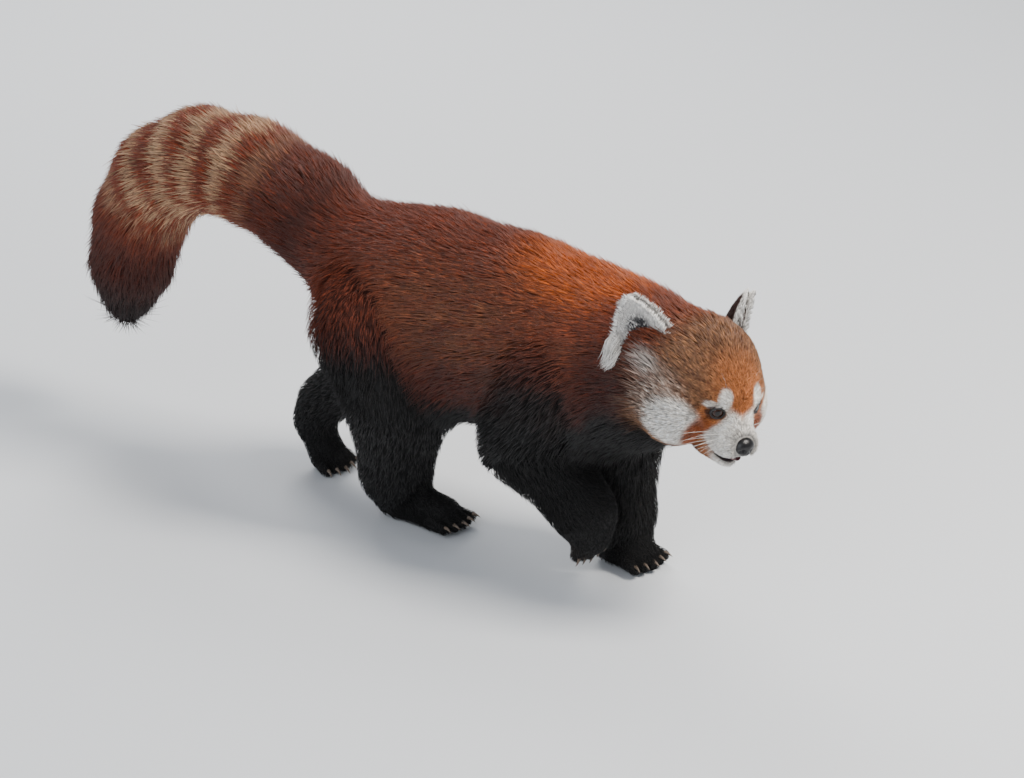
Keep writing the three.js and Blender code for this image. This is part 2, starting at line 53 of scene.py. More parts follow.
# %% Sizes shared with the solids
CENTRE = np.array([142.4, 1.1, 0.0])  # the trunk frame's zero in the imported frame
TRUNK_WIDTH = 0.8
TRUNK = [  # x, y, z and radius of each point, as in all the lines below
    (-170, 0, 237, 89), (-106, 0, 231, 96), (-12, 0, 226, 98),
    (74, 0, 222, 91), (140, -8, 232, 76), (196, -18, 245, 55),
]
TAIL = [
    (-212, 0, 250, 54), (-291, 0, 300, 54), (-366, 0, 322, 54), (-435, 0, 321, 53),
    (-490, 0, 292, 52), (-525, 0, 236, 49), (-540, 0, 182, 44), (-547, 0, 144, 30),
]
LEGS = {  # top, bend, ankle, heel and ball of the foot
    "front_left": [
        (78, 40, 214, 58), (84, 40, 142, 44), (100, 28, 50, 28), (92, 24, 20, 22), (116, 24, 13, 22),
    ],
    "front_right": [
        (74, -42, 214, 58), (28, -50, 138, 42), (98, -44, 82, 30), (106, -42, 76, 24), (107, -40, 54, 21),
    ],
    "hind_left": [
        (-168, 40, 212, 74), (-212, 44, 148, 54), (-300, 30, 72, 24), (-310, 24, 50, 18), (-290, 24, 17, 20),
    ],
    "hind_right": [
        (-160, -40, 214, 76), (-128, -50, 156, 60), (-150, -32, 52, 35),
        (-152, -24, 20, 21), (-96, -24, 14, 21),
    ],
}
TOES = {  # pitch, yaw and spread in degrees, length and radius in mm
    "front_left": (8, -8, 15, 15, 8),
    "front_right": (96, 0, 14, 13, 8),
    "hind_left": (28, 0, 14, 17, 7.5),
    "hind_right": (8, 4, 14, 17, 7.5),
}
HEAD_AT, HEAD_TURN = (232, -22, 232), (-6, 11, -18.5)  # middle, then roll, pitch and yaw
SKULL = [((-15, 0, 13), (60, 58, 59)), ((24, 0, 13), (33, 38, 34))]
CHEEK = ((-4, 35, -14), (42, 33, 36))
MUZZLE = ((34, 0, -10, 26), (59, 0, -21, 17))
LIP = ((56, 9, -24), (18, 14, 13))
JAW = ((22, 0, -36, 20), (51, 0, -42, 11))
EYE_AT, EYE_RADIUS, LID_THICK = (43, 20.5, 7), 8.2, 1.9
EYE_OPENING = (6.9, 5.5)  # half width and half height between the lids
EYE_HOLLOW = ((52, 26, 6), (9, 9, 9))
NOSE_AT, NOSE_SIZE = (70.5, 0, -21), (8.5, 11, 9.8)
MOUTH_CORNER, MOUTH_UPPER, MOUTH_LOWER = (36, -39), (92, -32), (92, -50)
EARS = {  # base and tip in the head's frame, and the way the cup opens
    "ear_right": ((-42, -53, 30), (-62, -72, 82), (0.6, -0.75, 0.1)),
    "ear_left": ((-27, 50, 38), (-45, 69, 80), (0.5, 0.85, 0.1)),
}
EAR_WIDTH, EAR_CURL = 29, math.radians(58)


def turned(roll, pitch, yaw):
    cx, sx, cy, sy, cz, sz = [f(math.radians(a)) for a in (roll, pitch, yaw) for f in (math.cos, math.sin)]
    rx = np.array([[1, 0, 0], [0, cx, -sx], [0, sx, cx]])
    ry = np.array([[cy, 0, sy], [0, 1, 0], [-sy, 0, cy]])
    rz = np.array([[cz, -sz, 0], [sz, cz, 0], [0, 0, 1]])
    return rz @ ry @ rx


HEAD_AXES = turned(*HEAD_TURN)


def to_head(points):
    return (points - np.array(HEAD_AT, np.float32)) @ HEAD_AXES.astype(np.float32)


def from_head(points):
    return np.asarray(points, float) @ HEAD_AXES.T + np.array(HEAD_AT)


def to_frame(points):
    return (np.asarray(points, float) + CENTRE) / 1000


print("nose tip at", to_frame(from_head((78, 0, -19))).round(3), "m")

# %% [markdown]
# ## Fields
# The body is a signed distance field: a function that is negative inside and grows with the
# distance outside. Rounded bones and bulges are easy to write as fields, and a soft minimum melts
# them together as flesh does. It could be sculpted by hand, but then the skin and the solids would
# drift apart. Each function takes an array of points, so that numpy works on millions at once.

# %% Bones, bulges and how they melt
def bone(p, a, b, less=0.0, width=1.0):
    """Distance to a bone with a round end of its own radius at each end, made thinner by less."""
    ra, rb = max(a[3] - less, 2), max(b[3] - less, 2)
    a, b = np.array(a[:3], np.float32), np.array(b[:3], np.float32)
    scale = np.array([1, 1 / width, 1], np.float32)
    d, q = (b - a) * scale, (p - a) * scale
    l2 = float(d @ d)
    rr = ra - rb
    a2 = l2 - rr * rr
    along = q @ d
    past = along - l2
    side = q * l2 - along[..., None] * d
    x2 = np.einsum("...i,...i", side, side)
    k = np.sign(rr) * rr * rr * x2
    far = np.sqrt(x2 + past * past * l2) / l2 - rb
    near = np.sqrt(x2 + along * along * l2) / l2 - ra
    middle = (np.sqrt(x2 * a2 / l2) + along * rr) / l2 - ra
    out = np.where(np.sign(along) * a2 * along * along * l2 < k, near, middle)
    return np.where(np.sign(past) * a2 * past * past * l2 > k, far, out)


def bulge(p, centre, size):
    q = (p - np.array(centre, np.float32)) / np.array(size, np.float32)
    k0 = np.sqrt(np.einsum("...i,...i", q, q))
    q = q / np.array(size, np.float32)
    return k0 * (k0 - 1) / np.maximum(np.sqrt(np.einsum("...i,...i", q, q)), 1e-6)


def soft(a, b, k):
    return np.minimum(a, b) - np.maximum(k - np.abs(a - b), 0) ** 2 / (4 * k)


def melt(fields, k):
    total = fields[0]
    for field in fields[1:]:
        total = soft(total, field, k)
    return total


def mirrored(form, side):
    (x, y, z), size = form
    return (x, y * side, z), size


def ramp(x, low, high):
    t = np.clip((x - low) / (high - low), 0, 1)
    return t * t * (3 - 2 * t)


# %% The coat's depth, and how the parts melt together
COAT = {"trunk": 11, "tail": 17, "thigh": 8.5, "shank": 4.5, "foot": 2.0, "face": 2.4, "ruff": 7}
TOE_COAT = 1.4
MELT = {"head": 22, "leg": 26, "tail": 26, "toe": 5}  # part to body
BONE_MELT = {"trunk": 30, "tail": 12, "leg": 16, "foot": 12}  # bone to bone
HEAD_MELT = {"skull": 16, "face": 9, "hollow": 5, "lid": 6}
print("depth of the coat in mm:", COAT)


# %% Trunk, tail, legs and toes
def trunk_field(p, less=0.0):
    return melt([bone(p, a, b, less, TRUNK_WIDTH) for a, b in zip(TRUNK, TRUNK[1:])], BONE_MELT["trunk"])


def tail_field(p, less=0.0):
    return melt([bone(p, a, b, less) for a, b in zip(TAIL, TAIL[1:])], BONE_MELT["tail"])


def leg_field(p, name, less=(0.0, 0.0, 0.0)):
    """A leg without its toes, thinner by less at the thigh, shank and foot."""
    top, bend, ankle, heel, ball = LEGS[name]
    cut = lambda point, amount: (*point[:3], point[3] - amount)
    top, bend, ankle = cut(top, less[0]), cut(bend, (less[0] + less[1]) / 2), cut(ankle, less[1] * 0.7)
    heel, ball = cut(heel, less[2]), cut(ball, less[2])
    bones = [bone(p, top, bend), bone(p, bend, ankle), bone(p, ankle, heel)]
    return soft(melt(bones, BONE_MELT["leg"]), bone(p, heel, ball), BONE_MELT["foot"])


def toe_lines(name):
    """Root, way, reach and radius of the five toes of a foot."""
    pitch, yaw, spread, length, radius = TOES[name]
    ball = LEGS[name][4]
    lines = []
    for n in (-2, -1, 0, 1, 2):
        turn, dip = math.radians(yaw + n * spread * 0.5), math.radians(pitch)
        reach = ball[3] * 0.45 + length - abs(n) * 2
        root = np.array([ball[0], ball[1] + n * spread * 0.62, ball[2] - 1])
        way = np.array([math.cos(turn) * math.cos(dip), math.sin(turn), -math.sin(dip) * math.cos(turn)])
        lines.append((root, way, reach, radius))
    return lines


def toe_field(p, name, less=0.0):
    toes = []
    for root, way, reach, radius in toe_lines(name):
        tip = root + way * (reach - 2)
        toes.append(bone(p, (*root, radius - less), (*tip, radius * 0.8 - less)))
    return np.minimum.reduce(toes)


print("right hip at", to_frame(LEGS["hind_right"][0][:3]).round(3), "m")


# %% Mouth, eyes and head
def mouth_field(q):
    """The open wedge between the jaws, in the head's frame: negative inside it."""
    x, z = q[..., 0], q[..., 2]
    planes = []
    for (ax, az), (bx, bz), side in ((MOUTH_CORNER, MOUTH_UPPER, 1), (MOUTH_CORNER, MOUTH_LOWER, -1)):
        dx, dz = bx - ax, bz - az
        length = math.hypot(dx, dz)
        planes.append(side * ((z - az) * dx - (x - ax) * dz) / length)
    return np.maximum(planes[0], planes[1])


def eye_axes(side):
    """The way an eye looks, its width and its height, in the head's frame."""
    look = np.array([1, 0.45 * side, 0.02])
    look /= np.linalg.norm(look)
    wide = np.cross([0, 0, 1], look)
    wide /= np.linalg.norm(wide)
    return look, wide, np.cross(look, wide)


def between_lids(q, margin):
    """Whether points lie in front of an eye's opening, in the head's frame."""
    out = np.zeros(q.shape[:-1], bool)
    for side in (1, -1):
        v = q - np.array(EYE_AT) * (1, side, 1)
        look, wide, high = eye_axes(side)
        oval = ((v @ wide) / (EYE_OPENING[0] + margin)) ** 2 + ((v @ high) / (EYE_OPENING[1] + margin)) ** 2
        out |= (oval < 1) & (v @ look > 0)
    return out


def head_field(p, less=(0.0, 0.0)):
    """The head, thinner by less on the face and at the ruff behind it."""
    q = to_head(p)
    sides = (1, -1)
    skull = [bulge(q, *s) for s in SKULL] + [bulge(q, *mirrored(CHEEK, s)) for s in sides]
    face = [bone(q, *MUZZLE)] + [bulge(q, *mirrored(LIP, s)) for s in sides] + [bone(q, *JAW)]
    d = melt([melt(skull, HEAD_MELT["skull"])] + face, HEAD_MELT["face"])
    for s in sides:
        d = -soft(-d, bulge(q, *mirrored(EYE_HOLLOW, s)), HEAD_MELT["hollow"])
    d = d + less[0] + (less[1] - less[0]) * ramp(-q[..., 0], -8, 36)
    for s in sides:
        lid = np.linalg.norm(q - np.array(EYE_AT, np.float32) * (1, s, 1), axis=-1) - EYE_RADIUS - LID_THICK
        d = soft(d, lid + less[0] * 0.6, HEAD_MELT["lid"])
    return d


# %% The whole body
def outer_field(p):
    """The body out to the tips of the coat, as the solids have it."""
    d = soft(trunk_field(p), head_field(p), MELT["head"])
    for name in LEGS:
        d = soft(d, leg_field(p, name), MELT["leg"])
    d = soft(d, tail_field(p), MELT["tail"])
    for name in LEGS:
        d = soft(d, toe_field(p, name), MELT["toe"])
    return d


BODY_LESS = {
    "trunk": COAT["trunk"],
    "tail": COAT["tail"],
    "leg": (COAT["thigh"], COAT["shank"], COAT["foot"]),
    "head": (COAT["face"], COAT["ruff"]),
}
chest = np.array([[74, 0, 222]], np.float32)
print("the chest's bone lies", -round(float(outer_field(chest)[0]), 1), "mm under the fur's tips")

# %% [markdown]
# ## The skin
# A real animal has one skin, so one closed mesh replaces every node of flesh. It lies under the
# solids' surface by the depth of the coat: 11 mm on the flank, 17 mm on the tail, about 2 mm on the
# face and feet. The mesh is a surface net: one vertex in each grid cell that the surface crosses.
# The grid is finer round the head, where short fur hides nothing.

# %% Fill the grid part by part
GRID_X = np.concatenate([np.arange(-606, 132, 4.6), np.arange(132, 312, 2.0)])
GRID_Y = np.arange(-119, 119, 2.3)
GRID_Z = np.concatenate([np.arange(-8, 150, 3.4), np.arange(150, 332, 2.1), np.arange(332, 386, 4)])
values = np.full((len(GRID_X), len(GRID_Y), len(GRID_Z)), 60.0, np.float32)


def grid_part(low, high):
    """The slices of the grid inside a box, and their points."""
    cut = []
    for axis, a, b in zip((GRID_X, GRID_Y, GRID_Z), low, high):
        cut.append(slice(int(np.searchsorted(axis, a)), int(np.searchsorted(axis, b)) + 1))
    mesh = np.meshgrid(*[axis[c] for axis, c in zip((GRID_X, GRID_Y, GRID_Z), cut)], indexing="ij")
    return tuple(cut), np.stack(mesh, -1).astype(np.float32)


def melt_in(field, points, margin, k):
    """Melts a field into the grid near the given points."""
    reach = np.array(points, float)
    radius = reach[:, 3:].max() + margin
    cut, p = grid_part(reach[:, :3].min(0) - radius, reach[:, :3].max(0) + radius)
    values[cut] = soft(values[cut], field(p), k)


HEAD_REACH = 84
SOLE = 0.6  # height of the soles over the floor
melt_in(lambda p: trunk_field(p, BODY_LESS["trunk"]), TRUNK, 36, 1)
melt_in(lambda p: head_field(p, BODY_LESS["head"]), [(*HEAD_AT, HEAD_REACH)], 20, MELT["head"])
for leg in LEGS:
    melt_in(lambda p: leg_field(p, leg, BODY_LESS["leg"]), LEGS[leg], 28, MELT["leg"])
melt_in(lambda p: tail_field(p, BODY_LESS["tail"]), TAIL, 28, MELT["tail"])
for leg in LEGS:
    feet = []
    for root, way, reach, radius in toe_lines(leg):
        feet += [(*root, radius), (*(root + way * reach), radius)]
    melt_in(lambda p: toe_field(p, leg, TOE_COAT), feet, 10, MELT["toe"])
cut, p = grid_part([236, -90, 160], [312, 20, 230])
values[cut] = -soft(-values[cut], mouth_field(to_head(p)), 2)
cut, p = grid_part([236, -90, 200], [312, 30, 270])
for side in (1, -1):
    look, wide, high = eye_axes(side)
    v = to_head(p) - (np.array(EYE_AT) * (1, side, 1) + look * EYE_RADIUS).astype(np.float32)
    oval = np.stack([v @ look / 8.5, v @ wide / EYE_OPENING[0], v @ high / EYE_OPENING[1]], -1)
    opening = (np.linalg.norm(oval, axis=-1) - 1) * EYE_OPENING[1]
    values[cut] = -soft(-values[cut], opening.astype(np.float32), 1)
cut, p = grid_part([-620, -120, -10], [320, 120, 6])
values[cut] = np.maximum(values[cut], SOLE - p[..., 2])
print("grid:", values.shape, values.size, "values,", int((values < 0).sum()), "inside")


# %% Net the surface
def surface_net(values, axes):
    """A closed mesh of quads round the negative values."""
    inside = values < 0
    corners = [(i, j, k) for i in (0, 1) for j in (0, 1) for k in (0, 1)]
    count = 0
    for corner in corners:
        part = tuple(slice(s, n - 1 + s) for s, n in zip(corner, inside.shape))
        count = count + inside[part].astype(np.int8)
    cells = np.argwhere((count > 0) & (count < 8))
    number = np.full([n - 1 for n in values.shape], -1, np.int32)
    number[tuple(cells.T)] = np.arange(len(cells))
    total, hits = np.zeros((len(cells), 3)), np.zeros(len(cells))
    for a in corners:
        for axis in range(3):
            if a[axis]:
                continue
            b = list(a)
            b[axis] = 1
            va, vb = values[tuple((cells + a).T)], values[tuple((cells + b).T)]
            crossing = (va < 0) != (vb < 0)
            t = np.where(crossing, va / np.where(crossing, va - vb, 1), 0)
            for m in range(3):
                total[:, m] += crossing * (a[m] + (t if m == axis else 0))
            hits += crossing
    share = total / hits[:, None]
    points = np.zeros_like(share)
    for m, axis in enumerate(axes):
        low = axis[cells[:, m]]
        points[:, m] = low + (axis[cells[:, m] + 1] - low) * share[:, m]
    quads = []
    for axis in range(3):
        u, w = (axis + 1) % 3, (axis + 2) % 3
        step = np.eye(3, dtype=int)[axis]
        first = inside[tuple(slice(0, n - s) for n, s in zip(inside.shape, step))]
        second = inside[tuple(slice(s, n) for n, s in zip(inside.shape, step))]
        at = np.argwhere(first != second)
        ring = []
        for du, dw in ((0, 0), (-1, 0), (-1, -1), (0, -1)):
            cell = at.copy()
            cell[:, u] += du
            cell[:, w] += dw
            ring.append(number[tuple(cell.T)])
        ring = np.stack(ring, 1)
        outward = first[tuple(at.T)]
        quads.append(np.where(outward[:, None], ring, ring[:, ::-1]))
    return points, np.concatenate(quads)


skin_points, skin_quads = surface_net(values, (GRID_X, GRID_Y, GRID_Z))
print("skin:", len(skin_points), "points,", len(skin_quads), "quads")


# %% Smooth the net and face it outward
def neighbours_mean(points, quads):
    total, count = np.zeros_like(points), np.zeros(len(points))
    for a, b in ((0, 1), (1, 2), (2, 3), (3, 0)):
        for i, j in ((quads[:, a], quads[:, b]), (quads[:, b], quads[:, a])):
            for m in range(3):
                total[:, m] += np.bincount(i, points[j, m], len(points))
            count += np.bincount(i, minlength=len(points))
    return total / np.maximum(count, 1)[:, None]


def vertex_normals(points, quads):
    a, b = points[quads[:, 2]] - points[quads[:, 0]], points[quads[:, 3]] - points[quads[:, 1]]
    face = np.cross(a, b)
    normals = np.zeros_like(points)
    for c in range(4):
        for m in range(3):
            normals[:, m] += np.bincount(quads[:, c], face[:, m], len(points))
    return normals / np.maximum(np.linalg.norm(normals, axis=1), 1e-9)[:, None]


for _ in range(2):
    skin_points += (neighbours_mean(skin_points, skin_quads) - skin_points) * 0.5
skin_normals = vertex_normals(skin_points, skin_quads)
centre = skin_points.mean(0)
flux = ((skin_points - centre) * skin_normals).sum()
if flux < 0:
    skin_quads, skin_normals = skin_quads[:, ::-1], -skin_normals
print("skin faces", "turned outward" if flux < 0 else "already point outward")

# %% [markdown]
# ## Which way the coat lies, and its markings
# Fur lies from the nose to the tail and down the legs. Each region of the body gives a direction,
# and near a border they are mixed by distance, so that no parting shows. The same regions carry
# the markings: one function gives the colour at any point, and both skin and coat ask it.
# Colours are sRGB hex values, as a painter would match them to the animal.

# %% Regions of the body
REGIONS = ["trunk", "head", *LEGS, "tail"]
BORDER = 9  # depth in mm over which one region gives way to the next


def region_shares(p):
    """How much each region owns each point."""
    p = p.astype(np.float32)
    less = BODY_LESS
    d = [trunk_field(p, less["trunk"]), head_field(p, less["head"])]
    d += [np.minimum(leg_field(p, leg, less["leg"]), toe_field(p, leg, TOE_COAT)) for leg in LEGS]
    d.append(tail_field(p, less["tail"]))
    d = np.stack(d, -1)
    share = np.exp(-(d - d.min(-1, keepdims=True)) / BORDER)
    return share / share.sum(-1, keepdims=True)


def unit(v):
    return v / np.maximum(np.linalg.norm(v, axis=-1, keepdims=True), 1e-9)


def along(points, line):
    """The nearest place on a line of points: its share of the length, and the line's way there."""
    line = np.array(line, float)[:, :3]
    steps = np.linalg.norm(np.diff(line, axis=0), axis=1)
    start = np.concatenate([[0], np.cumsum(steps)])
    best, share, way = np.full(len(points), 1e9), np.zeros(len(points)), np.zeros((len(points), 3))
    for i, step in enumerate(steps):
        d = (line[i + 1] - line[i]) / step
        t = np.clip((points - line[i]) @ d, 0, step)
        far = np.linalg.norm(points - line[i] - t[:, None] * d, axis=1)
        near = far < best
        best[near], share[near], way[near] = far[near], (start[i] + t[near]) / start[-1], d
    return share, way


def curved(line, steps=8):
    """A smooth curve through a line of points."""
    line = np.array(line, float)
    line = np.vstack([2 * line[0] - line[1], line, 2 * line[-1] - line[-2]])
    t = np.linspace(0, 1, steps, endpoint=False)[:, None]
    rows = []
    for a, b, c, d in zip(line, line[1:], line[2:], line[3:]):
        square = (2 * a - 5 * b + 4 * c - d) * t ** 2
        cube = (3 * b - a - 3 * c + d) * t ** 3
        rows.append(0.5 * (2 * b + (c - a) * t + square + cube))
    return np.vstack([*rows, line[-2:-1]])


TAIL_LINE = curved(TAIL)
tail_steps = np.linalg.norm(np.diff(TAIL_LINE[:, :3], axis=0), axis=1)
print("the tail's line is", round(float(tail_steps.sum())), "mm long")


# %% The lie of the coat
def lie_of(points, normals, shares):
    """The way that the coat lies at each point, along the skin."""
    q = to_head(points)
    flank = ramp(np.abs(points[:, 1]), 10, 70)
    fall = -0.15 - 0.5 * flank * ramp(-points[:, 2], -250, -150)
    trunk = np.stack([np.full(len(q), -1.0), np.zeros(len(q)), fall], -1)
    side = np.tanh(q[:, 1] / 16)
    low = ramp(-q[:, 2], -10, 30)
    back = np.stack([np.full(len(q), -1.0), side * (0.35 + 0.5 * low), 0.25 - 1.0 * low], -1)
    ways = [trunk, back @ HEAD_AXES.T]
    for leg in LEGS:
        ways.append(along(points, LEGS[leg])[1] + np.array([-0.25, 0, -0.1]))
    ways.append(along(points, TAIL_LINE)[1])
    way = sum(unit(w) * shares[:, i:i + 1] for i, w in enumerate(ways))
    way -= normals * np.einsum("ij,ij->i", way, normals)[:, None]
    return unit(way)


# %% Colours
def linear(hex_colour):
    """An sRGB hex colour in linear light."""
    parts = [int(hex_colour[i:i + 2], 16) / 255 for i in (1, 3, 5)]
    return np.array([v / 12.92 if v <= 0.04045 else ((v + 0.055) / 1.055) ** 2.4 for v in parts])


RUST, RUST_DARK, PAINTED_LIGHT_RUST = linear("#86391a"), linear("#43190e"), linear("#c4601f")
MAROON, BLACK, WHITE = linear("#35110b"), linear("#090707"), linear("#efeae2")
CREAM, GREY, TAN, ORANGE = linear("#c9a27c"), linear("#3c3a3c"), linear("#946846"), linear("#ad6838")
CHESTNUT, BROWN, LIP_DARK, PAW_FRONT_GREY = linear("#8f4416"), linear("#563424"), linear("#2a1a1c"), linear("#4a4038")


def over(base, paint, amount):
    """Paint over a colour, as thick as the amount from 0 to 1."""
    return base + (paint - base) * np.clip(amount, 0, 1)[:, None]


def spot(q, centre, size, soft_edge=0.35):
    """1 in the middle of a soft oval spot, 0 outside it."""
    d = np.linalg.norm((q - np.array(centre)) / np.array(size), axis=1)
    return 1 - ramp(d, 1 - soft_edge, 1 + soft_edge)


def noise(p, size, seed):
    """Smooth noise, mostly from -1 to 1, with features of a size in mm, as slanted waves."""
    rng = np.random.default_rng(seed)
    total = np.zeros(len(p))
    for _ in range(7):
        way = unit(rng.normal(size=3)) * 2 * math.pi / (size * rng.uniform(0.7, 1.5))
        total += np.sin(p @ way + rng.uniform(0, 6.28))
    return total / 3.5


# %% Markings of the trunk
def trunk_colour(p):
    """Rust back, with painted light over the shoulders and painted shade low on the flank, a tan frosting on
    the mid flank that is partly painted sheen, and a black belly and chest.
    """
    x, z = p[:, 0], p[:, 2]
    colour = np.tile(RUST, (len(p), 1))
    # Painted shade: darker low on the flank, and less dark over the withers, where painted light falls.
    shade = 0.3 + 0.5 * ramp(-z, -275, -200) - 0.25 * ramp(x, 20, 90) * ramp(z, 240, 290)
    colour = over(colour, RUST_DARK, shade)
    # A tan frosting on the mid flank: partly the tan tips of the hairs, and partly painted sheen.
    flecks = 0.6 + 0.4 * noise(p, 16, 5)
    colour = over(colour, TAN, 0.42 * spot(p, (-20, 0, 258), (150, 200, 42), 0.6) * flecks)
    # Painted light: a pool of brighter rust over the withers, where the light falls.
    colour = over(colour, PAINTED_LIGHT_RUST, 0.75 * spot(p, (96, 0, 320), (80, 90, 36)))
    colour = over(colour, MAROON, 0.8 * spot(p, (172, -8, 215), (52, 120, 66), 0.5))
    belly = 176 + 0.06 * (x + 20) + 26 * ramp(x, 60, 170) + 8 * noise(p, 40, 2)
    return over(colour, BLACK, ramp(-z, -belly - 12, -belly + 16))


# %% Markings of the head
BROW_AND_CHEEK = [  # paint, amount, middle, half size and softness of each oval spot
    (ORANGE, 0.8, (46, 27, 0), (13, 14, 12), 0.35),
    (WHITE, 0.96, (28, 55, -15), (29, 30, 23), 0.22),
]
WHITE_SPOTS = [  # behind the cheek, over the eye and along the lid
    (WHITE, 0.7, (-24, 60, 24), (17, 15, 13), 0.5),
    (WHITE, 0.95, (53, 16.5, 20), (11, 6.2, 11), 0.25),
    (WHITE, 0.75, (47, 28, 14), (8, 8, 3.8), 0.3),
]
EYE_STRIPE = [  # from the eye down to the corner of the mouth
    (CHESTNUT, 0.95, (38, 33, -25), (10.5, 12, 20), 0.25),
    (CHESTNUT, 0.7, (42, 28, -8), (8, 10, 9), 0.4),
    (CHESTNUT, 0.85, (33, 26, -42), (15, 12, 10), 0.3),
]


def paint_spots(colour, q, spots):
    for paint, amount, centre, size, soft_edge in spots:
        colour = over(colour, paint, amount * spot(q, centre, size, soft_edge))
    return colour


def head_colour(p):
    """Tan crown, orange brow, white cheeks and muzzle, and a chestnut stripe under each eye."""
    q = to_head(p).astype(float)
    q[:, 1] = np.abs(q[:, 1])
    x, y, z = q.T
    fleck = 0.5 + 0.5 * noise(q, 5, 11)
    colour = np.tile(TAN, (len(q), 1))
    colour = over(colour, BROWN, 0.75 * (1 - fleck))
    colour = over(colour, RUST, 0.8 * ramp(-x, -2, 34) * ramp(z, -20, 40))
    colour = over(colour, ORANGE, 0.85 * ramp(x, 12, 46) * (1 - ramp(y, 12, 40)))
    colour = paint_spots(colour, q, BROW_AND_CHEEK)
    colour = over(colour, WHITE, 0.45 * spot(q, (4, 58, 2), (26, 26, 26), 0.5) * fleck)
    colour = over(colour, MAROON, 0.9 * ramp(-x, 12, 36) * ramp(-z, -22, 8))
    colour = paint_spots(colour, q, WHITE_SPOTS)
    bridge = ramp(x, 49, 56) * (1 - ramp(z - 1.1 * y, -6, 6)) * (1 - ramp(y, 13, 24) * ramp(z, -12, 0))
    colour = over(colour, WHITE, 0.96 * bridge)
    colour = over(colour, WHITE, 0.96 * spot(q, (60, 16, -22), (20, 17, 17), 0.2))
    colour = over(colour, GREY, 0.4 * spot(q, (68, 6, -10), (12, 8, 8), 0.5) * fleck)
    colour = paint_spots(colour, q, EYE_STRIPE)
    colour = over(colour, WHITE, 0.9 * ramp(x, 38, 47) * ramp(-z, 32, 38))
    pad = np.linalg.norm((q - np.array(NOSE_AT)) / np.array(NOSE_SIZE), axis=1)
    colour = over(colour, GREY, 0.4 * (1 - ramp(pad, 1.1, 1.35)))
    look, wide, high = eye_axes(1)
    v = q - np.array(EYE_AT)
    rim = np.hypot(v @ wide / EYE_OPENING[0], v @ high / EYE_OPENING[1])
    colour = over(colour, LIP_DARK, 0.9 * (1 - ramp(rim, 1.1, 1.4)) * (v @ look > 0))
    throat = ramp(-x, -34, -18) * ramp(-z, 34, 48) * (1 - ramp(y, 34, 56))
    return over(colour, BLACK, throat)


# %% Markings of the tail and legs
RING_PITCH, RING_AT = 0.085, 0.42  # a ring's share of the tail, and the middle of one of them


def tail_colour(p):
    """Rust, with paler rings over the arch, and nearly black at the hanging end."""
    t, _ = along(p, TAIL_LINE)
    t = t + 0.012 * noise(p, 30, 7)
    wave = 0.5 + 0.5 * np.cos((t - RING_AT) * 2 * math.pi / RING_PITCH)
    rings = ramp(wave, 0.38, 0.72) * ramp(t, 0.2, 0.36) * (1 - ramp(t, 0.62, 0.72))
    colour = over(np.tile(RUST_DARK, (len(p), 1)), RUST, ramp(t, 0.05, 0.4))
    colour = over(colour, CREAM, 0.85 * rings)
    colour = over(colour, MAROON, 0.8 * ramp(t, 0.62, 0.85))
    return over(colour, BLACK, 0.85 * ramp(t, 0.82, 0.97))


def leg_colour(p, leg):
    """Nearly black, with a thigh and shoulder that turn rust where they join the flank."""
    top = LEGS[leg][0][2]
    colour = np.tile(BLACK, (len(p), 1))
    low = top - 22 if leg.startswith("hind") else top - 6
    colour = over(colour, RUST_DARK, ramp(p[:, 2], low, low + 30))
    colour = over(colour, RUST, 0.4 * ramp(p[:, 2], low + 20, low + 60))
    # A paler grey-brown patch at the front of the right fore paw.
    if leg == "front_right":
        ball = np.array(LEGS[leg][4][:3], float)
        colour = over(colour, PAW_FRONT_GREY, 0.6 * spot(p, ball + (-12, 0, -8), (18, 26, 16), 0.4))
    return colour


def markings(p, shares):
    """The colour at each point, mixed from the regions by their shares."""
    colours = [trunk_colour(p), head_colour(p), *[leg_colour(p, leg) for leg in LEGS], tail_colour(p)]
    return sum(c * shares[:, i:i + 1] for i, c in enumerate(colours))


skin_shares = region_shares(skin_points)
skin_colours = markings(skin_points, skin_shares)
print("markings: mean colour of the skin", skin_colours.mean(0).round(3))

# %% [markdown]
# ## Meshes, finishes and the unwrap
# Every piece is written as numpy arrays and becomes a mesh in one call. The finishes are node
# materials named for the real ones. Fur is keratin: each hair is a smooth tapered rod, rough from
# the side and a little shiny along its length, so the coat gets a middling roughness and a weak
# sheen. Its colour is painted on the mesh by the markings.

# %% One function that adds a node
def add_node(tree, kind, links=None, **settings):
    """A node with its sockets set or linked by name or number, and its own settings."""
    node = tree.nodes.new(kind)
    for key, value in settings.items():
        setattr(node, key, value)
    for socket, value in (links or {}).items():
        if isinstance(value, bpy.types.NodeSocket):
            tree.links.new(value, node.inputs[socket])
        else:
            node.inputs[socket].default_value = value
    return node


def finish_of(name, roughness, colour=None, **sockets):
    """A named material of one colour, with its tree and shader for further nodes."""
    material = bpy.data.materials.new(name)
    material.use_nodes = True
    shader = material.node_tree.nodes["Principled BSDF"]
    shader.inputs["Roughness"].default_value = roughness
    if colour:
        shader.inputs["Base Color"].default_value = (*linear(colour), 1)
    for socket, value in sockets.items():
        shader.inputs[socket.replace("_", " ")].default_value = value
    return material, material.node_tree, shader


MM = 0.001
BUMP_HEIGHT = 0.3 * MM


def grain(tree, shader, size_mm, depth):
    """Bump of a real grain size on Object coordinates."""
    place = add_node(tree, "ShaderNodeTexCoord").outputs["Object"]
    scale = 1 / (size_mm * MM)
    pattern = add_node(tree, "ShaderNodeTexNoise", {"Vector": place, "Scale": scale, "Detail": 3.0})
    heights = {"Height": pattern.outputs[0], "Strength": depth, "Distance": BUMP_HEIGHT}
    bump = add_node(tree, "ShaderNodeBump", heights)
    tree.links.new(bump.outputs[0], shader.inputs["Normal"])
    return pattern


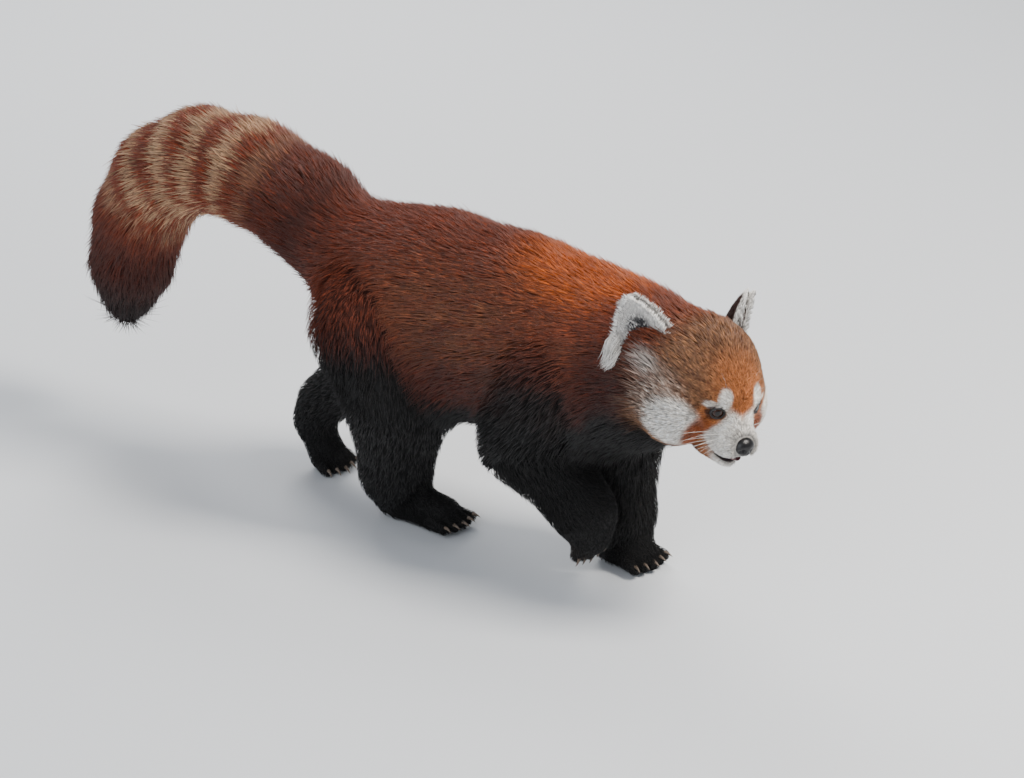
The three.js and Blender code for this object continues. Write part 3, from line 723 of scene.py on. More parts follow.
# %% Fur and skin
def painted_finish(name, roughness, size_mm, depth, tones, **sockets):
    """A finish whose colour is the markings, varied by a grain of a real size."""
    material, tree, shader = finish_of(name, roughness, **sockets)
    marks = add_node(tree, "ShaderNodeAttribute", attribute_name="Markings")
    pattern = grain(tree, shader, size_mm, depth)
    limits = {"From Min": 0.3, "From Max": 0.7, "To Min": tones[0], "To Max": tones[1]}
    tone = add_node(tree, "ShaderNodeMapRange", {"Value": pattern.outputs[0], **limits})
    sources = {"Factor": 1.0, "A": marks.outputs["Color"], "B": tone.outputs[0]}
    mixed = add_node(tree, "ShaderNodeMix", sources, data_type="RGBA", blend_type="MULTIPLY")
    tree.links.new(mixed.outputs[2], shader.inputs["Base Color"])
    return material


# Fur keeps its grain as a change of tone alone. Skin is duller, and creased as well.
SHEEN = {"Specular_IOR_Level": 0.3, "Sheen_Weight": 0.05, "Sheen_Roughness": 0.5}
FUR = painted_finish("Guard_hair_keratin", 0.72, 5.0, 0.0, (0.8, 1.2), **SHEEN)
SKIN = painted_finish("Skin_under_coat", 0.85, 1.2, 0.5, (0.6, 1.0))
print("finishes:", FUR.name, SKIN.name)


# %% Mesh pieces
def piece(name, points, faces, material, colours=None, uv=None, smooth=True):
    """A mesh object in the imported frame, from points in mm and faces of one length."""
    faces = np.asarray(faces, np.int32)
    sides = faces.shape[1]
    mesh = bpy.data.meshes.new(name)
    mesh.vertices.add(len(points))
    mesh.vertices.foreach_set("co", to_frame(points).astype(np.float32).ravel())
    mesh.loops.add(faces.size)
    mesh.loops.foreach_set("vertex_index", faces.ravel())
    mesh.polygons.add(len(faces))
    mesh.polygons.foreach_set("loop_start", np.arange(0, faces.size, sides, dtype=np.int32))
    mesh.update(calc_edges=True)
    mesh.validate()
    mesh.polygons.foreach_set("use_smooth", np.full(len(mesh.polygons), smooth))
    if colours is not None:
        layer = mesh.color_attributes.new("Markings", "FLOAT_COLOR", "POINT")
        rgba = np.ones((len(points), 4), np.float32)
        rgba[:, :3] = np.clip(colours, 0, 1)
        layer.data.foreach_set("color", rgba.ravel())
    if uv is not None:
        layer = mesh.uv_layers.new(name="OFBake")
        corner = np.zeros(len(mesh.loops), np.int32)
        mesh.loops.foreach_get("vertex_index", corner)
        layer.data.foreach_set("uv", np.clip(uv, 0.001, 0.999)[corner].astype(np.float32).ravel())
    mesh.materials.append(material)
    obj = bpy.data.objects.new(name, mesh)
    bpy.context.scene.collection.objects.link(obj)
    return obj


def triangles(obj):
    return sum(len(p.vertices) - 2 for p in obj.data.polygons)


# %% [markdown]
# The unwrap lays each region out as a strip of its own: length along the bone one way, the turn
# round it the other. A tuft is a patch 0.003 wide at the place of its root, so that baking
# keeps the markings apart.

# %% Unwrap of the skin
ISLANDS = {  # left, low, width and height of each region's strip
    "trunk": (0.02, 0.62, 0.50, 0.36),
    "head": (0.54, 0.62, 0.44, 0.36),
    "tail": (0.02, 0.42, 0.96, 0.17),
    "front_left": (0.02, 0.22, 0.47, 0.17),
    "front_right": (0.51, 0.22, 0.47, 0.17),
    "hind_left": (0.02, 0.02, 0.47, 0.17),
    "hind_right": (0.51, 0.02, 0.47, 0.17),
}


def unwrap(points, shares):
    """The place of each point in the strip of the region that owns most of it."""
    owner = shares.argmax(1)
    uv = np.zeros((len(points), 2))
    for i, region in enumerate(REGIONS):
        mine = owner == i
        if not mine.any():
            continue
        p = points[mine]
        if region == "head":
            q = to_head(p)
            t, turn = (q[:, 0] + 75) / 155, np.arctan2(q[:, 1], q[:, 2] + 5)
        elif region == "trunk":
            t, turn = (p[:, 0] + 270) / 500, np.arctan2(p[:, 1], p[:, 2] - 225)
        elif region == "tail":
            t, way = along(p, TAIL_LINE)
            steps = np.linspace(0, 1, len(TAIL_LINE))
            x, z = [p[:, m] - np.interp(t, steps, TAIL_LINE[:, m]) for m in (0, 2)]
            turn = np.arctan2(p[:, 1], x * way[:, 2] - z * way[:, 0])
        else:
            top, _, ankle, heel, _ = LEGS[region]
            t, _ = along(p, LEGS[region])
            middle = np.interp(p[:, 2], [heel[2], top[2]], [heel[0], top[0]])
            turn = np.arctan2(p[:, 1] - ankle[1], p[:, 0] - middle)
        left, low, width, height = ISLANDS[region]
        uv[mine, 0] = left + width * np.clip(t, 0, 1)
        uv[mine, 1] = low + height * (turn / (2 * math.pi) + 0.5)
    return uv


# %% The skin as a piece
ROOT_SHADE = 0.62  # painted shade: skin and hair roots are darker than the coat over them
LIP_EDGE = 1.3  # bare lip beside the mouth, in mm
skin_in_head = to_head(skin_points.astype(np.float32))
in_mouth = 1 - ramp(np.abs(mouth_field(skin_in_head)), LIP_EDGE, 3.0)
in_mouth = in_mouth * ramp(skin_in_head[:, 0], 40, 46)
skin_colours = over(skin_colours, LIP_DARK, in_mouth * skin_shares[:, 1])
skin_uv = unwrap(skin_points, skin_shares)
# The skin is darkened by the painted shade of ROOT_SHADE, as it lies under the coat.
skin = piece("Skin", skin_points, skin_quads, SKIN, skin_colours * ROOT_SHADE, skin_uv)
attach(skin, "root")
flesh = [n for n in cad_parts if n.endswith(("leg", "paw")) or n.startswith("tail_")]
flesh += ["torso", "neck", "head", "jaw"]
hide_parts(*flesh)
print("Skin:", triangles(skin), "triangles, stands for", len(flesh), "nodes")

# %% [markdown]
# ## The coat
# The coat is plain mesh. A hair system looks right but can't be kept, since the model has to be plain mesh.
# Each tuft is a thin blade of three sides that tapers to a point: its root is sunk in the skin, it rises
# steeply and bends over along the lie, and its tip ends where the solids' surface is. Tufts are placed at
# random by area, denser where they are smaller, with a fixed seed. Tips also lean together in waves a few
# millimetres wide, as real coats clump.

# %% Length and width of a tuft at each region, in mm
TUFT = {"trunk": (27, 1.75), "tail": (36, 2.0), "leg": (16, 1.3)}
rng = np.random.default_rng(7)


def in_head(points):
    return to_head(points.astype(np.float32)).astype(float)


def tuft_size(points, shares):
    """Length and width of the tufts at each point: smallest on the face and feet."""
    q = in_head(points)
    face = ramp(q[:, 0], 6, 52)
    long_cheek = ramp(-q[:, 0], -24, 30)
    head_length = 10 - 5.4 * face + 12 * long_cheek
    head_width = 1.25 - 0.6 * face + 0.5 * long_cheek
    lengths = [np.full(len(q), float(TUFT["trunk"][0])), head_length]
    widths = [np.full(len(q), TUFT["trunk"][1]), head_width]
    for leg in LEGS:
        t, _ = along(points, LEGS[leg])
        lower = ramp(t, 0.35, 0.85)
        foot = ramp(t, 0.78, 0.95)
        lengths.append(TUFT["leg"][0] * (1 - 0.4 * lower) - 4.5 * foot)
        widths.append(TUFT["leg"][1] * (1 - 0.2 * lower) - 0.25 * foot)
    t, _ = along(points, TAIL_LINE)
    lengths.append(TUFT["tail"][0] * (0.8 + 0.3 * t))
    widths.append(np.full(len(q), TUFT["tail"][1]))
    length = sum(v * shares[:, i] for i, v in enumerate(lengths))
    width = sum(v * shares[:, i] for i, v in enumerate(widths))
    return length, width


corner = skin_points[skin_quads]
quad_middle = corner.mean(1)
quad_shares = region_shares(quad_middle)
quad_owner = quad_shares.argmax(1)
crossed = np.cross(corner[:, 2] - corner[:, 0], corner[:, 3] - corner[:, 1])
quad_area = np.linalg.norm(crossed, axis=1) / 2
quad_length, quad_width = tuft_size(quad_middle, quad_shares)
print("skin area:", round(quad_area.sum() / 100), "cm2")


# %% Where no hair grows
def bare(points):
    """Whether points are on the eyes, nose pad, mouth or soles."""
    q = in_head(points)
    out = (points[:, 2] < 0.9) | between_lids(q, 0.6)
    out |= np.linalg.norm((q - np.array(NOSE_AT)) / (np.array(NOSE_SIZE) + 0.8), axis=1) < 1
    return out | ((mouth_field(q) < LIP_EDGE) & (q[:, 0] > 43))


print("quads without hair:", int(bare(quad_middle).sum()))


# %% One mesh of many tufts
BLADE = [  # three corners at the root, three at the middle and one tip
    (0, 1, 4), (0, 4, 3), (1, 2, 5), (1, 5, 4), (2, 0, 3),
    (2, 3, 5), (3, 4, 6), (4, 5, 6), (5, 3, 6), (0, 2, 1),
]
SHADE = np.array([ROOT_SHADE] * 3 + [0.95] * 3 + [1.18])  # of the colour, at root, middle and tip: painted shade at the root, painted light at the tip
PATCH = np.array([(-1, -1), (1, -1), (0, -0.6), (-1, 0.3), (1, 0.3), (0, 0.6), (0, 1)]) * 0.0015
LOWEST_HAIR, TUFT_SINK = 0.4, 0.8  # over the floor, and how deep a root is sunk


def tufts(name, roots, normals, middle, tip, across, width, base, uv, spread):
    """A piece of the coat from the roots, middles and tips of its tufts."""
    half, thick = (width / 2)[:, None], (width * 0.34)[:, None]
    root = roots - normals * TUFT_SINK
    low = [root - across * half, root + across * half, root + normals * thick]
    high = [middle - across * half * 0.8, middle + across * half * 0.8, middle + normals * thick * 0.8]
    points = np.stack([*low, *high, tip], 1)
    points[..., 2] = np.maximum(points[..., 2], LOWEST_HAIR)
    faces = (np.array(BLADE)[None] + 7 * np.arange(len(roots))[:, None, None]).reshape(-1, 3)
    corner = points[:, BLADE]
    if np.einsum("tfi,tfi->", corner[:, :, 0], np.cross(corner[:, :, 1], corner[:, :, 2])) < 0:
        faces = faces[:, ::-1]
    tone = np.exp(rng.normal(0, spread, len(roots)))[:, None] * (1 + 0.10 * noise(roots, 12, 41))[:, None]
    colours = np.clip((base * tone)[:, None] * SHADE[None, :, None], 0, 0.95)
    uv = uv[:, None] + PATCH[None]
    obj = piece(name, points.reshape(-1, 3), faces, FUR, colours.reshape(-1, 3), uv.reshape(-1, 2))
    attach(obj, "root")
    return obj


# %% Grow tufts
def grow(name, mine, count, spread):
    """One piece of the coat, on the quads where mine is true."""
    chance = quad_area * mine / (quad_length * quad_width)
    pick = rng.choice(len(chance), size=int(count * 1.04), p=chance / chance.sum())
    u, v = rng.random((2, len(pick), 1))
    corner = skin_quads[pick]

    def blend(field):
        """The value of a field of the skin's points at each pick's place in its quad."""
        a, b, c, d = [field[corner[:, i]] for i in range(4)]
        return (a * (1 - u) + b * u) * (1 - v) + (d * (1 - u) + c * u) * v

    roots, normals = blend(skin_points), unit(blend(skin_normals))
    keep = ~bare(roots)
    roots, normals = roots[keep][:count], normals[keep][:count]
    shares = region_shares(roots)
    length, width = tuft_size(roots, shares)
    length = length * rng.uniform(0.72, 1.25, len(roots))
    width = width * rng.uniform(0.7, 1.2, len(roots))
    way = lie_of(roots, normals, shares)
    across = np.cross(way, normals)
    swing = 0.16 * noise(roots, 26, 21) + 0.13 * rng.normal(size=len(roots))
    way = unit(way + across * swing[:, None])
    across = unit(np.cross(way, normals))
    clump = across * (length * 0.10 * noise(roots, 7.5, 33))[:, None]
    depth = np.maximum(-outer_field(roots.astype(np.float32)), 0.8)
    proud = rng.normal(0.0, 1.0, len(roots)) * np.minimum(depth * 0.16, 1.6)
    proud = proud + rng.exponential(0.06, len(roots)) * depth
    places = []
    for t in (0.5, 1.0):
        target = depth * (1 - t) ** 1.8 - proud * t
        p = roots + way * (length * t)[:, None] + normals * (depth * t)[:, None] + clump * t * t
        for _ in range(2):
            miss = outer_field(p.astype(np.float32)) + target
            p = p - normals * np.clip(miss, -0.7 * length, 0.7 * length)[:, None]
        p[:, 2] = np.maximum(p[:, 2], SOLE)
        places.append(p)
    middle, tip = places
    free = ~bare(middle) & ~bare(tip)
    parts = [v[free] for v in (roots, normals, middle, tip, across, width, shares)]
    colours = markings(parts[0], parts[6])
    obj = tufts(name, *parts[:6], colours, unwrap(parts[0], parts[6]), spread)
    print(name + ":", len(obj.data.polygons), "triangles, longest tuft", round(float(length.max())), "mm")
    return obj


# %% The eight pieces of the coat
def is_region(*names):
    return np.isin(quad_owner, [REGIONS.index(n) for n in names])


left = quad_middle[:, 1] > 0
head_left = in_head(quad_middle)[:, 1] > 0
tail_far = along(quad_middle, TAIL_LINE)[0] > 0.48
COAT_PIECES = [
    ("Coat_head_left", is_region("head") & head_left, 17500, "face_fur"),
    ("Coat_head_right", is_region("head") & ~head_left, 17500, "face_fur"),
    ("Coat_trunk_left", is_region("trunk") & left, 18500, "red_fur"),
    ("Coat_trunk_right", is_region("trunk") & ~left, 18500, "red_fur"),
    ("Coat_front_legs", is_region("front_left", "front_right"), 17500, "black_fur"),
    ("Coat_hind_legs", is_region("hind_left", "hind_right"), 19000, "black_fur"),
    ("Coat_tail_root", is_region("tail") & ~tail_far, 14500, "tail_fur"),
    ("Coat_tail_end", is_region("tail") & tail_far, 14500, "tail_fur"),
]
thin_coat = 1.0
coat = []
for name, mine, count, slot_name in COAT_PIECES:
    obj = grow(name, mine, int(count * thin_coat), 0.27 if "head" in name else 0.2)
    coat.append(obj)
print("coat:", sum(triangles(o) for o in coat), "triangles")

# %% [markdown]
# ## Ears
# Each ear is a thin cup of gristle, open to the front and side, with white hair round its rim and
# a dark hollow. It is lofted from rings, from foot to tip, that cross the back and return across
# the front, a little inside the solid. Then it gets a coat of its own that points to the rim.

# %% Ear cups
EAR_FRONT_COLOUR, EAR_HOLLOW = linear("#e9e6e2"), linear("#3a393c")
# The colour of each ear's back: the left ear's is much darker, with painted shade.
EAR_BACK_AND_SHADE = {"ear_right": linear("#6a2c16"), "ear_left": linear("#2a100c")}
EAR_ROWS, EAR_COLUMNS = 22, 17
EAR_INSET, EAR_SKIN = 0.90, 2.6  # share of the solid's size, and thickness in mm


def ear_point(name, u, v, set_back):
    """A point of an ear: u across from -1 to 1, v up from 0 to 1, set back from its front."""
    base, tip, open_way = [np.array(c, float) for c in EARS[name]]
    height = tip - base
    up = unit(height)
    front = unit(open_way - up * (open_way @ up))
    across = np.cross(up, front)
    width = EAR_WIDTH * EAR_INSET * (1 - np.clip(v, 0, 0.995) ** 1.8) ** 0.8
    side = width * np.sin(u * EAR_CURL) / math.sin(EAR_CURL)
    hollow = -width * (np.cos(u * EAR_CURL) - math.cos(EAR_CURL)) / math.sin(EAR_CURL) - set_back
    q = base + height * (v * EAR_INSET)[..., None] + across * side[..., None] + front * hollow[..., None]
    return q, up, front, across


def ear_unwrap(points):
    return np.stack([0.55 + 0.4 * (points[:, 1] + 90) / 180, 0.90 + 0.08 * (points[:, 2] - 10) / 80], -1)


def ring_quads(rings, sides, closed=False):
    """Quads between rings of points, and from the last ring to the first if closed."""
    quads = []
    for r in range(rings if closed else rings - 1):
        low, high = r * sides, (r + 1) % rings * sides
        for i in range(sides):
            j = (i + 1) % sides
            quads.append((low + i, low + j, high + j, high + i))
    return quads


def ear_skin(name):
    """The bare cup of one ear, closed at its foot and tip."""
    u, v = np.linspace(-1, 1, EAR_COLUMNS), np.linspace(-0.3, 1, EAR_ROWS)
    rings = []
    for row in v:
        flat = np.full(EAR_COLUMNS, row)
        back = ear_point(name, u, flat, EAR_SKIN + 1)[0]
        rings.append(np.vstack([back, ear_point(name, u[::-1], flat, 1.0)[0]]))
    points = np.concatenate(rings)
    n = 2 * EAR_COLUMNS
    quads = ring_quads(EAR_ROWS, n)
    for first, turn in ((0, -1), ((EAR_ROWS - 1) * n, 1)):
        for i in range(EAR_COLUMNS - 1):
            quads.append((first + i, first + i + 1, first + n - 2 - i, first + n - 1 - i)[::turn])
    quads = np.array(quads)
    corner = points[quads]
    facing = np.cross(corner[:, 1] - corner[:, 0], corner[:, 2] - corner[:, 0])
    if np.einsum("fi,fi->", corner[:, 0] - points.mean(0), facing) < 0:
        quads = quads[:, ::-1]
    inner = np.tile(np.repeat([0.0, 1.0], EAR_COLUMNS), EAR_ROWS)
    up_share, wide_share = np.repeat(v, n), np.tile(np.concatenate([u, u[::-1]]), EAR_ROWS)
    dark = inner * (1 - ramp(np.abs(wide_share), 0.15, 0.5)) * (1 - ramp(up_share, 0.4, 0.65))
    # The back of the cup takes its ear's colour, with painted shade on the left ear.
    colours = over(np.tile(EAR_BACK_AND_SHADE[name], (len(points), 1)), EAR_FRONT_COLOUR * 0.9, inner)
    colours = over(colours, EAR_HOLLOW, dark)
    obj = piece(name.title() + "_cup", from_head(points), quads, SKIN, colours, ear_unwrap(points))
    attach(obj, "root")
    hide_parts(name)
    return obj


ears = [ear_skin(name) for name in EARS]
print("ear cups:", [triangles(o) for o in ears], "triangles")


# %% Ear hair
def ear_coat(name, count):
    """The tufts of one ear: on its back, rim and front, and a long lock behind its base."""
    v = rng.random(count) ** 0.8 * 1.12 - 0.12
    u = rng.uniform(-1, 1, count)
    inner = rng.random(count) < 0.55
    rim = ramp(np.abs(u), 0.35, 0.95)
    set_back = np.where(inner, 1.0, EAR_SKIN + 1)
    root, up, front, across = ear_point(name, u, np.clip(v, 0, 1), set_back)
    root += up * np.minimum(v, 0)[:, None] * 30
    normal = np.where(inner[:, None], front, -front) + across * (u * np.where(inner, -0.55, 0.8))[:, None]
    normal = unit(normal)
    way = unit(up * (1.0 - 0.3 * rim)[:, None] + across * (u * 0.75 + rng.normal(0, 0.18, count))[:, None])
    length = (7.5 + 2.5 * rim) * rng.uniform(0.7, 1.3, count) * (1 - 0.35 * np.clip(v, 0, 1))
    lift = (1.6 + 2.2 * rim) * rng.uniform(0.6, 1.2, count)
    middle = root + way * (length * 0.5)[:, None] + normal * lift[:, None]
    tip = root + way * length[:, None] + normal * (lift * 0.9)[:, None]
    hollow = inner * (1 - ramp(np.abs(u + 0.1), 0.2, 0.6)) * (1 - ramp(v, 0.42, 0.72)) * ramp(v, -0.1, 0.1)
    hollow *= rng.random(count) < 0.8
    rear = -np.sign(across @ HEAD_AXES.T[:, 0])
    white = np.where(inner, 1.0, ramp(np.maximum(-u * rear - 0.55, v - 0.78), 0, 0.15))
    # Hair on the back takes its ear's colour, with painted shade on the left ear.
    colours = over(np.tile(EAR_BACK_AND_SHADE[name], (count, 1)), EAR_FRONT_COLOUR, white)
    colours = over(colours, EAR_HOLLOW, hollow)
    lock = rng.random(count) < 0.055
    heights = rng.uniform(0.0, 0.42, count)
    edge = ear_point(name, np.full(count, rear * 0.95), heights, np.full(count, 2.0))[0]
    outward = np.array([0, np.sign(EARS[name][0][1]), 0])
    edge = edge + outward * rng.uniform(0, 2.5, (count, 1))
    gather = (edge.mean(0) - edge) * 0.8
    hang = unit(-up * 0.95 + across * rear * 0.55 + outward * 0.40 + rng.normal(0, 0.10, (count, 3)))
    long = rng.triangular(9, 24, 34, count)[:, None]
    root = np.where(lock[:, None], edge + rng.normal(0, 1.5, (count, 3)), root)
    middle = np.where(lock[:, None], root + hang * long * 0.5 + outward * 2.0, middle)
    tip = np.where(lock[:, None], root + hang * long + gather, tip)
    colours = np.where(lock[:, None], EAR_FRONT_COLOUR, colours)
    turn = unit(np.cross(tip - root, normal))
    width = np.where(lock, 1.1, 0.95) * rng.uniform(0.7, 1.2, count)
    places = [from_head(root), normal @ HEAD_AXES.T, from_head(middle), from_head(tip), turn @ HEAD_AXES.T]
    return [*places, width, colours, ear_unwrap(root)]


EAR_TUFTS = 4600
ear_parts = [ear_coat(name, int(EAR_TUFTS * thin_coat)) for name in EARS]
ear_hair = tufts("Coat_ears", *[np.concatenate(both) for both in zip(*ear_parts)], spread=0.10)
print("ear hair:", triangles(ear_hair), "triangles")

# %% [markdown]
# ## Eyes, lids, nose and tongue
# The eyes of a museum model are glass: nearly black, with a dark brown iris and a wet gloss. Each
# is a sphere painted in rings round the way it looks. The lids are a dark rim along the opening.
# The nose pad is bare, grained skin with two comma-shaped nostrils and a groove between them.

# %% A smooth ball in rings round one way
def ball(centre, size, look, wide, high, rings=40, sides=56):
    """Points of a ball, the same points at radius 1 in its own axes, and its triangles."""
    a = np.linspace(0, math.pi, rings)[1:-1, None]
    b = np.linspace(0, 2 * math.pi, sides, endpoint=False)[None]
    x, y, z = np.cos(a) + 0 * b, np.sin(a) * np.cos(b), np.sin(a) * np.sin(b)
    unit_points = np.stack([x, y, z], -1).reshape(-1, 3)
    unit_points = np.vstack([unit_points, (1, 0, 0), (-1, 0, 0)])
    at = lambda r, s: r * sides + s % sides
    last = (rings - 2) * sides
    tris = []
    for s in range(sides):
        tris += [(last, at(0, s), at(0, s + 1)), (last + 1, at(rings - 3, s + 1), at(rings - 3, s))]
        for r in range(rings - 3):
            tris += [(at(r, s), at(r + 1, s), at(r + 1, s + 1)), (at(r, s), at(r + 1, s + 1), at(r, s + 1))]
    axes = np.stack([look, wide, high])
    return np.array(centre) + (unit_points * size) @ axes, unit_points, np.array(tris)


# %% Glass and lid skin
# Polished glass shows small sharp lights. Bare moist skin is nearly black, with soft ones.
GLASS, tree, shader = finish_of("Glass_eye", 0.04, Specular_IOR_Level=0.4)
marks = add_node(tree, "ShaderNodeAttribute", attribute_name="Markings")
tree.links.new(marks.outputs["Color"], shader.inputs["Base Color"])
LID, tree, shader = finish_of("Moist_lid_skin", 0.35, "#100909")
grain(tree, shader, 0.6, 0.3)
PUPIL, IRIS, DARK_RIM = linear("#020202"), linear("#2c140a"), linear("#0c0605")
LID_STEPS, LID_SIDES = 60, 10
LID_RIM, LID_GAP = (0.85, 1.25), 0.55  # half thickness and half width, and distance to the glass
print("eye finishes:", GLASS.name, LID.name)

# %% Eyes and their rims
for side, name in ((1, "eye_left"), (-1, "eye_right")):
    look, wide, high = eye_axes(side)
    centre = np.array(EYE_AT) * (1, side, 1)
    points, unit_points, tris = ball(centre, EYE_RADIUS, look, wide, high)
    turn = np.degrees(np.arccos(np.clip(unit_points[:, 0], -1, 1)))
    colours = over(np.tile(PUPIL, (len(points), 1)), IRIS, ramp(turn, 17, 21))
    colours = over(colours, DARK_RIM, ramp(turn, 34, 42))
    eye = piece(name.title() + "_glass", from_head(points), tris, GLASS, colours)
    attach(eye, "root")
    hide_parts(name)
    b = np.linspace(0, 2 * math.pi, LID_STEPS, endpoint=False)
    w, h = EYE_OPENING[0] * np.cos(b), EYE_OPENING[1] * np.sin(b) * (1 - 0.12 * np.cos(b) ** 2)
    far = np.sqrt((EYE_RADIUS + LID_GAP) ** 2 - w ** 2 - h ** 2)
    ring = centre + look * far[:, None] + wide * w[:, None] + high * h[:, None]
    ahead = unit(np.roll(ring, -1, 0) - np.roll(ring, 1, 0))
    out = unit(ring - centre)
    turn_way = np.cross(ahead, out)
    tube = []
    for a in np.linspace(0, 2 * math.pi, LID_SIDES, endpoint=False):
        tube.append(ring + out * LID_RIM[0] * math.cos(a) + turn_way * LID_RIM[1] * math.sin(a))
    tube = np.stack(tube, 1).reshape(-1, 3)
    quads = np.array(ring_quads(LID_STEPS, LID_SIDES, closed=True))[:, ::-1]
    lid = piece(name.replace("eye", "Lid"), from_head(tube), quads, LID)
    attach(lid, "root")
print("eyes: radius", EYE_RADIUS, "mm, opening", EYE_OPENING)

# %% Nose pad
# Bare nose leather is cobbled in grains under 1 mm wide, which break up its wet light.
NOSE_SKIN, tree, shader = finish_of("Moist_nose_leather", 0.34, "#0b090b", Specular_IOR_Level=0.45)
NOSE_GRAIN, NOSE_BUMP = 0.9 * MM, 0.15 * MM
place = add_node(tree, "ShaderNodeTexCoord").outputs["Object"]
cells = add_node(tree, "ShaderNodeTexVoronoi", {"Vector": place, "Scale": 1 / NOSE_GRAIN})
heights = {"Height": cells.outputs["Distance"], "Strength": 0.5, "Distance": NOSE_BUMP}
bump = add_node(tree, "ShaderNodeBump", heights)
tree.links.new(bump.outputs[0], shader.inputs["Normal"])

axes = np.eye(3)
points, w, tris = ball((0, 0, 0), 1.0, *axes, rings=64, sides=84)
radius = np.ones(len(w))
for side in (1, -1):
    hole = unit(np.array([1.0, 0.52 * side, -0.10]))
    slit = unit(np.array([0.75, 0.98 * side, -0.28]))
    deep = 0.34 * np.exp(-((w - hole) ** 2).sum(1) / 0.045)
    radius -= deep + 0.2 * np.exp(-((w - slit) ** 2).sum(1) / 0.03)
radius -= 0.10 * np.exp(-(w[:, 1] / 0.07) ** 2) * ramp(-w[:, 2], -0.15, 0.5) * ramp(w[:, 0], 0.1, 0.6)
radius *= 1 - 0.16 * ramp(-w[:, 2], 0.2, 1.0) * (w[:, 1] ** 2) * 2.2
shape = w * radius[:, None] * np.array(NOSE_SIZE)
nose = piece("Nose_pad", from_head(shape + np.array(NOSE_AT)), tris, NOSE_SKIN)
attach(nose, "root")
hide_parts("nose")

# %% Tongue
# A wet film lies over the rough tongue, so it has a thin clear coat of its own.
TONGUE_WET = {"Coat_Weight": 0.3, "Coat_Roughness": 0.2}
TONGUE_SKIN, tree, shader = finish_of("Moist_tongue", 0.32, "#6a3a40", **TONGUE_WET)
grain(tree, shader, 0.7, 0.5)
TONGUE_AT, TONGUE_SIZE, GROOVE = np.array((53.5, 0, -37.2)), (14, 8.5, 2.6), 1.4
points, w, tris = ball((0, 0, 0), 1.0, *axes, rings=30, sides=40)
dip = GROOVE * np.exp(-(w[:, 1] / 0.3) ** 2) * (w[:, 2] > 0)
sag = np.stack([w[:, 0] * TONGUE_SIZE[0], w[:, 1] * TONGUE_SIZE[1], w[:, 2] * TONGUE_SIZE[2] - dip], -1)
tongue = piece("Tongue_tip", from_head(sag + TONGUE_AT), tris, TONGUE_SKIN)
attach(tongue, "root")
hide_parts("tongue")
print("nose pad and tongue:", triangles(nose) + triangles(tongue), "triangles")

# %% [markdown]
# ## Claws and whiskers
# Twenty claws and a few dozen whiskers are one shape repeated: a curved rod that tapers to a point.
# Geometry Nodes make it once, put it on each root point, turn it to the point's own way
# and scale it to the point's own length. The instances are realized, because the model has
# to be plain mesh.

# %% A node tree for tapered rods
def rod_tree(name, thickness, droop, sides, material):
    """Puts a rod one unit long, that tapers and droops, on each point of a mesh."""
    tree = bpy.data.node_groups.new(name, "GeometryNodeTree")
    face = tree.interface
    face.new_socket("Geometry", in_out="INPUT", socket_type="NodeSocketGeometry")
    for label, value in (("Thickness", thickness), ("Droop", droop)):
        face.new_socket(label, in_out="INPUT", socket_type="NodeSocketFloat").default_value = value
    face.new_socket("Geometry", in_out="OUTPUT", socket_type="NodeSocketGeometry")
    given = add_node(tree, "NodeGroupInput")
    down = add_node(tree, "ShaderNodeMath", {0: given.outputs["Droop"], 1: -1.0}, operation="MULTIPLY")
    end = add_node(tree, "ShaderNodeCombineXYZ", {"X": 1.0, "Z": down.outputs[0]})
    bend = {"Resolution": 8, "Start": (0, 0, 0), "Middle": (0.55, 0, 0), "End": end.outputs[0]}
    line = add_node(tree, "GeometryNodeCurveQuadraticBezier", bend)
    share = add_node(tree, "GeometryNodeSplineParameter").outputs["Factor"]
    taper = add_node(tree, "ShaderNodeMapRange", {"Value": share, "To Min": 1.0, "To Max": 0.06})
    factors = {0: taper.outputs[0], 1: given.outputs["Thickness"]}
    radius = add_node(tree, "ShaderNodeMath", factors, operation="MULTIPLY").outputs[0]
    ring = add_node(tree, "GeometryNodeCurvePrimitiveCircle", {"Resolution": sides, "Radius": 1.0})
    thin = add_node(tree, "GeometryNodeSetCurveRadius", {"Curve": line.outputs[0], "Radius": radius})
    loft = {"Curve": thin.outputs[0], "Profile Curve": ring.outputs[0], "Fill Caps": True}
    rod = add_node(tree, "GeometryNodeCurveToMesh", loft)
    if "Scale" in rod.inputs:
        tree.links.new(radius, rod.inputs["Scale"])
    way = add_node(tree, "GeometryNodeInputNamedAttribute", {"Name": "way"}, data_type="FLOAT_VECTOR")
    long = add_node(tree, "GeometryNodeInputNamedAttribute", {"Name": "long"}, data_type="FLOAT")
    turn = add_node(tree, "FunctionNodeAlignRotationToVector", {"Vector": way.outputs[0]}, axis="X")
    place = {"Points": given.outputs[0], "Rotation": turn.outputs[0], "Scale": long.outputs[0]}
    spread = add_node(tree, "GeometryNodeInstanceOnPoints", {"Instance": rod.outputs[0], **place})
    real = add_node(tree, "GeometryNodeRealizeInstances", {0: spread.outputs[0]})
    smooth = add_node(tree, "GeometryNodeSetShadeSmooth", {0: real.outputs[0]})
    coated = add_node(tree, "GeometryNodeSetMaterial", {0: smooth.outputs[0], "Material": material})
    add_node(tree, "NodeGroupOutput", {0: coated.outputs[0]})
    return tree


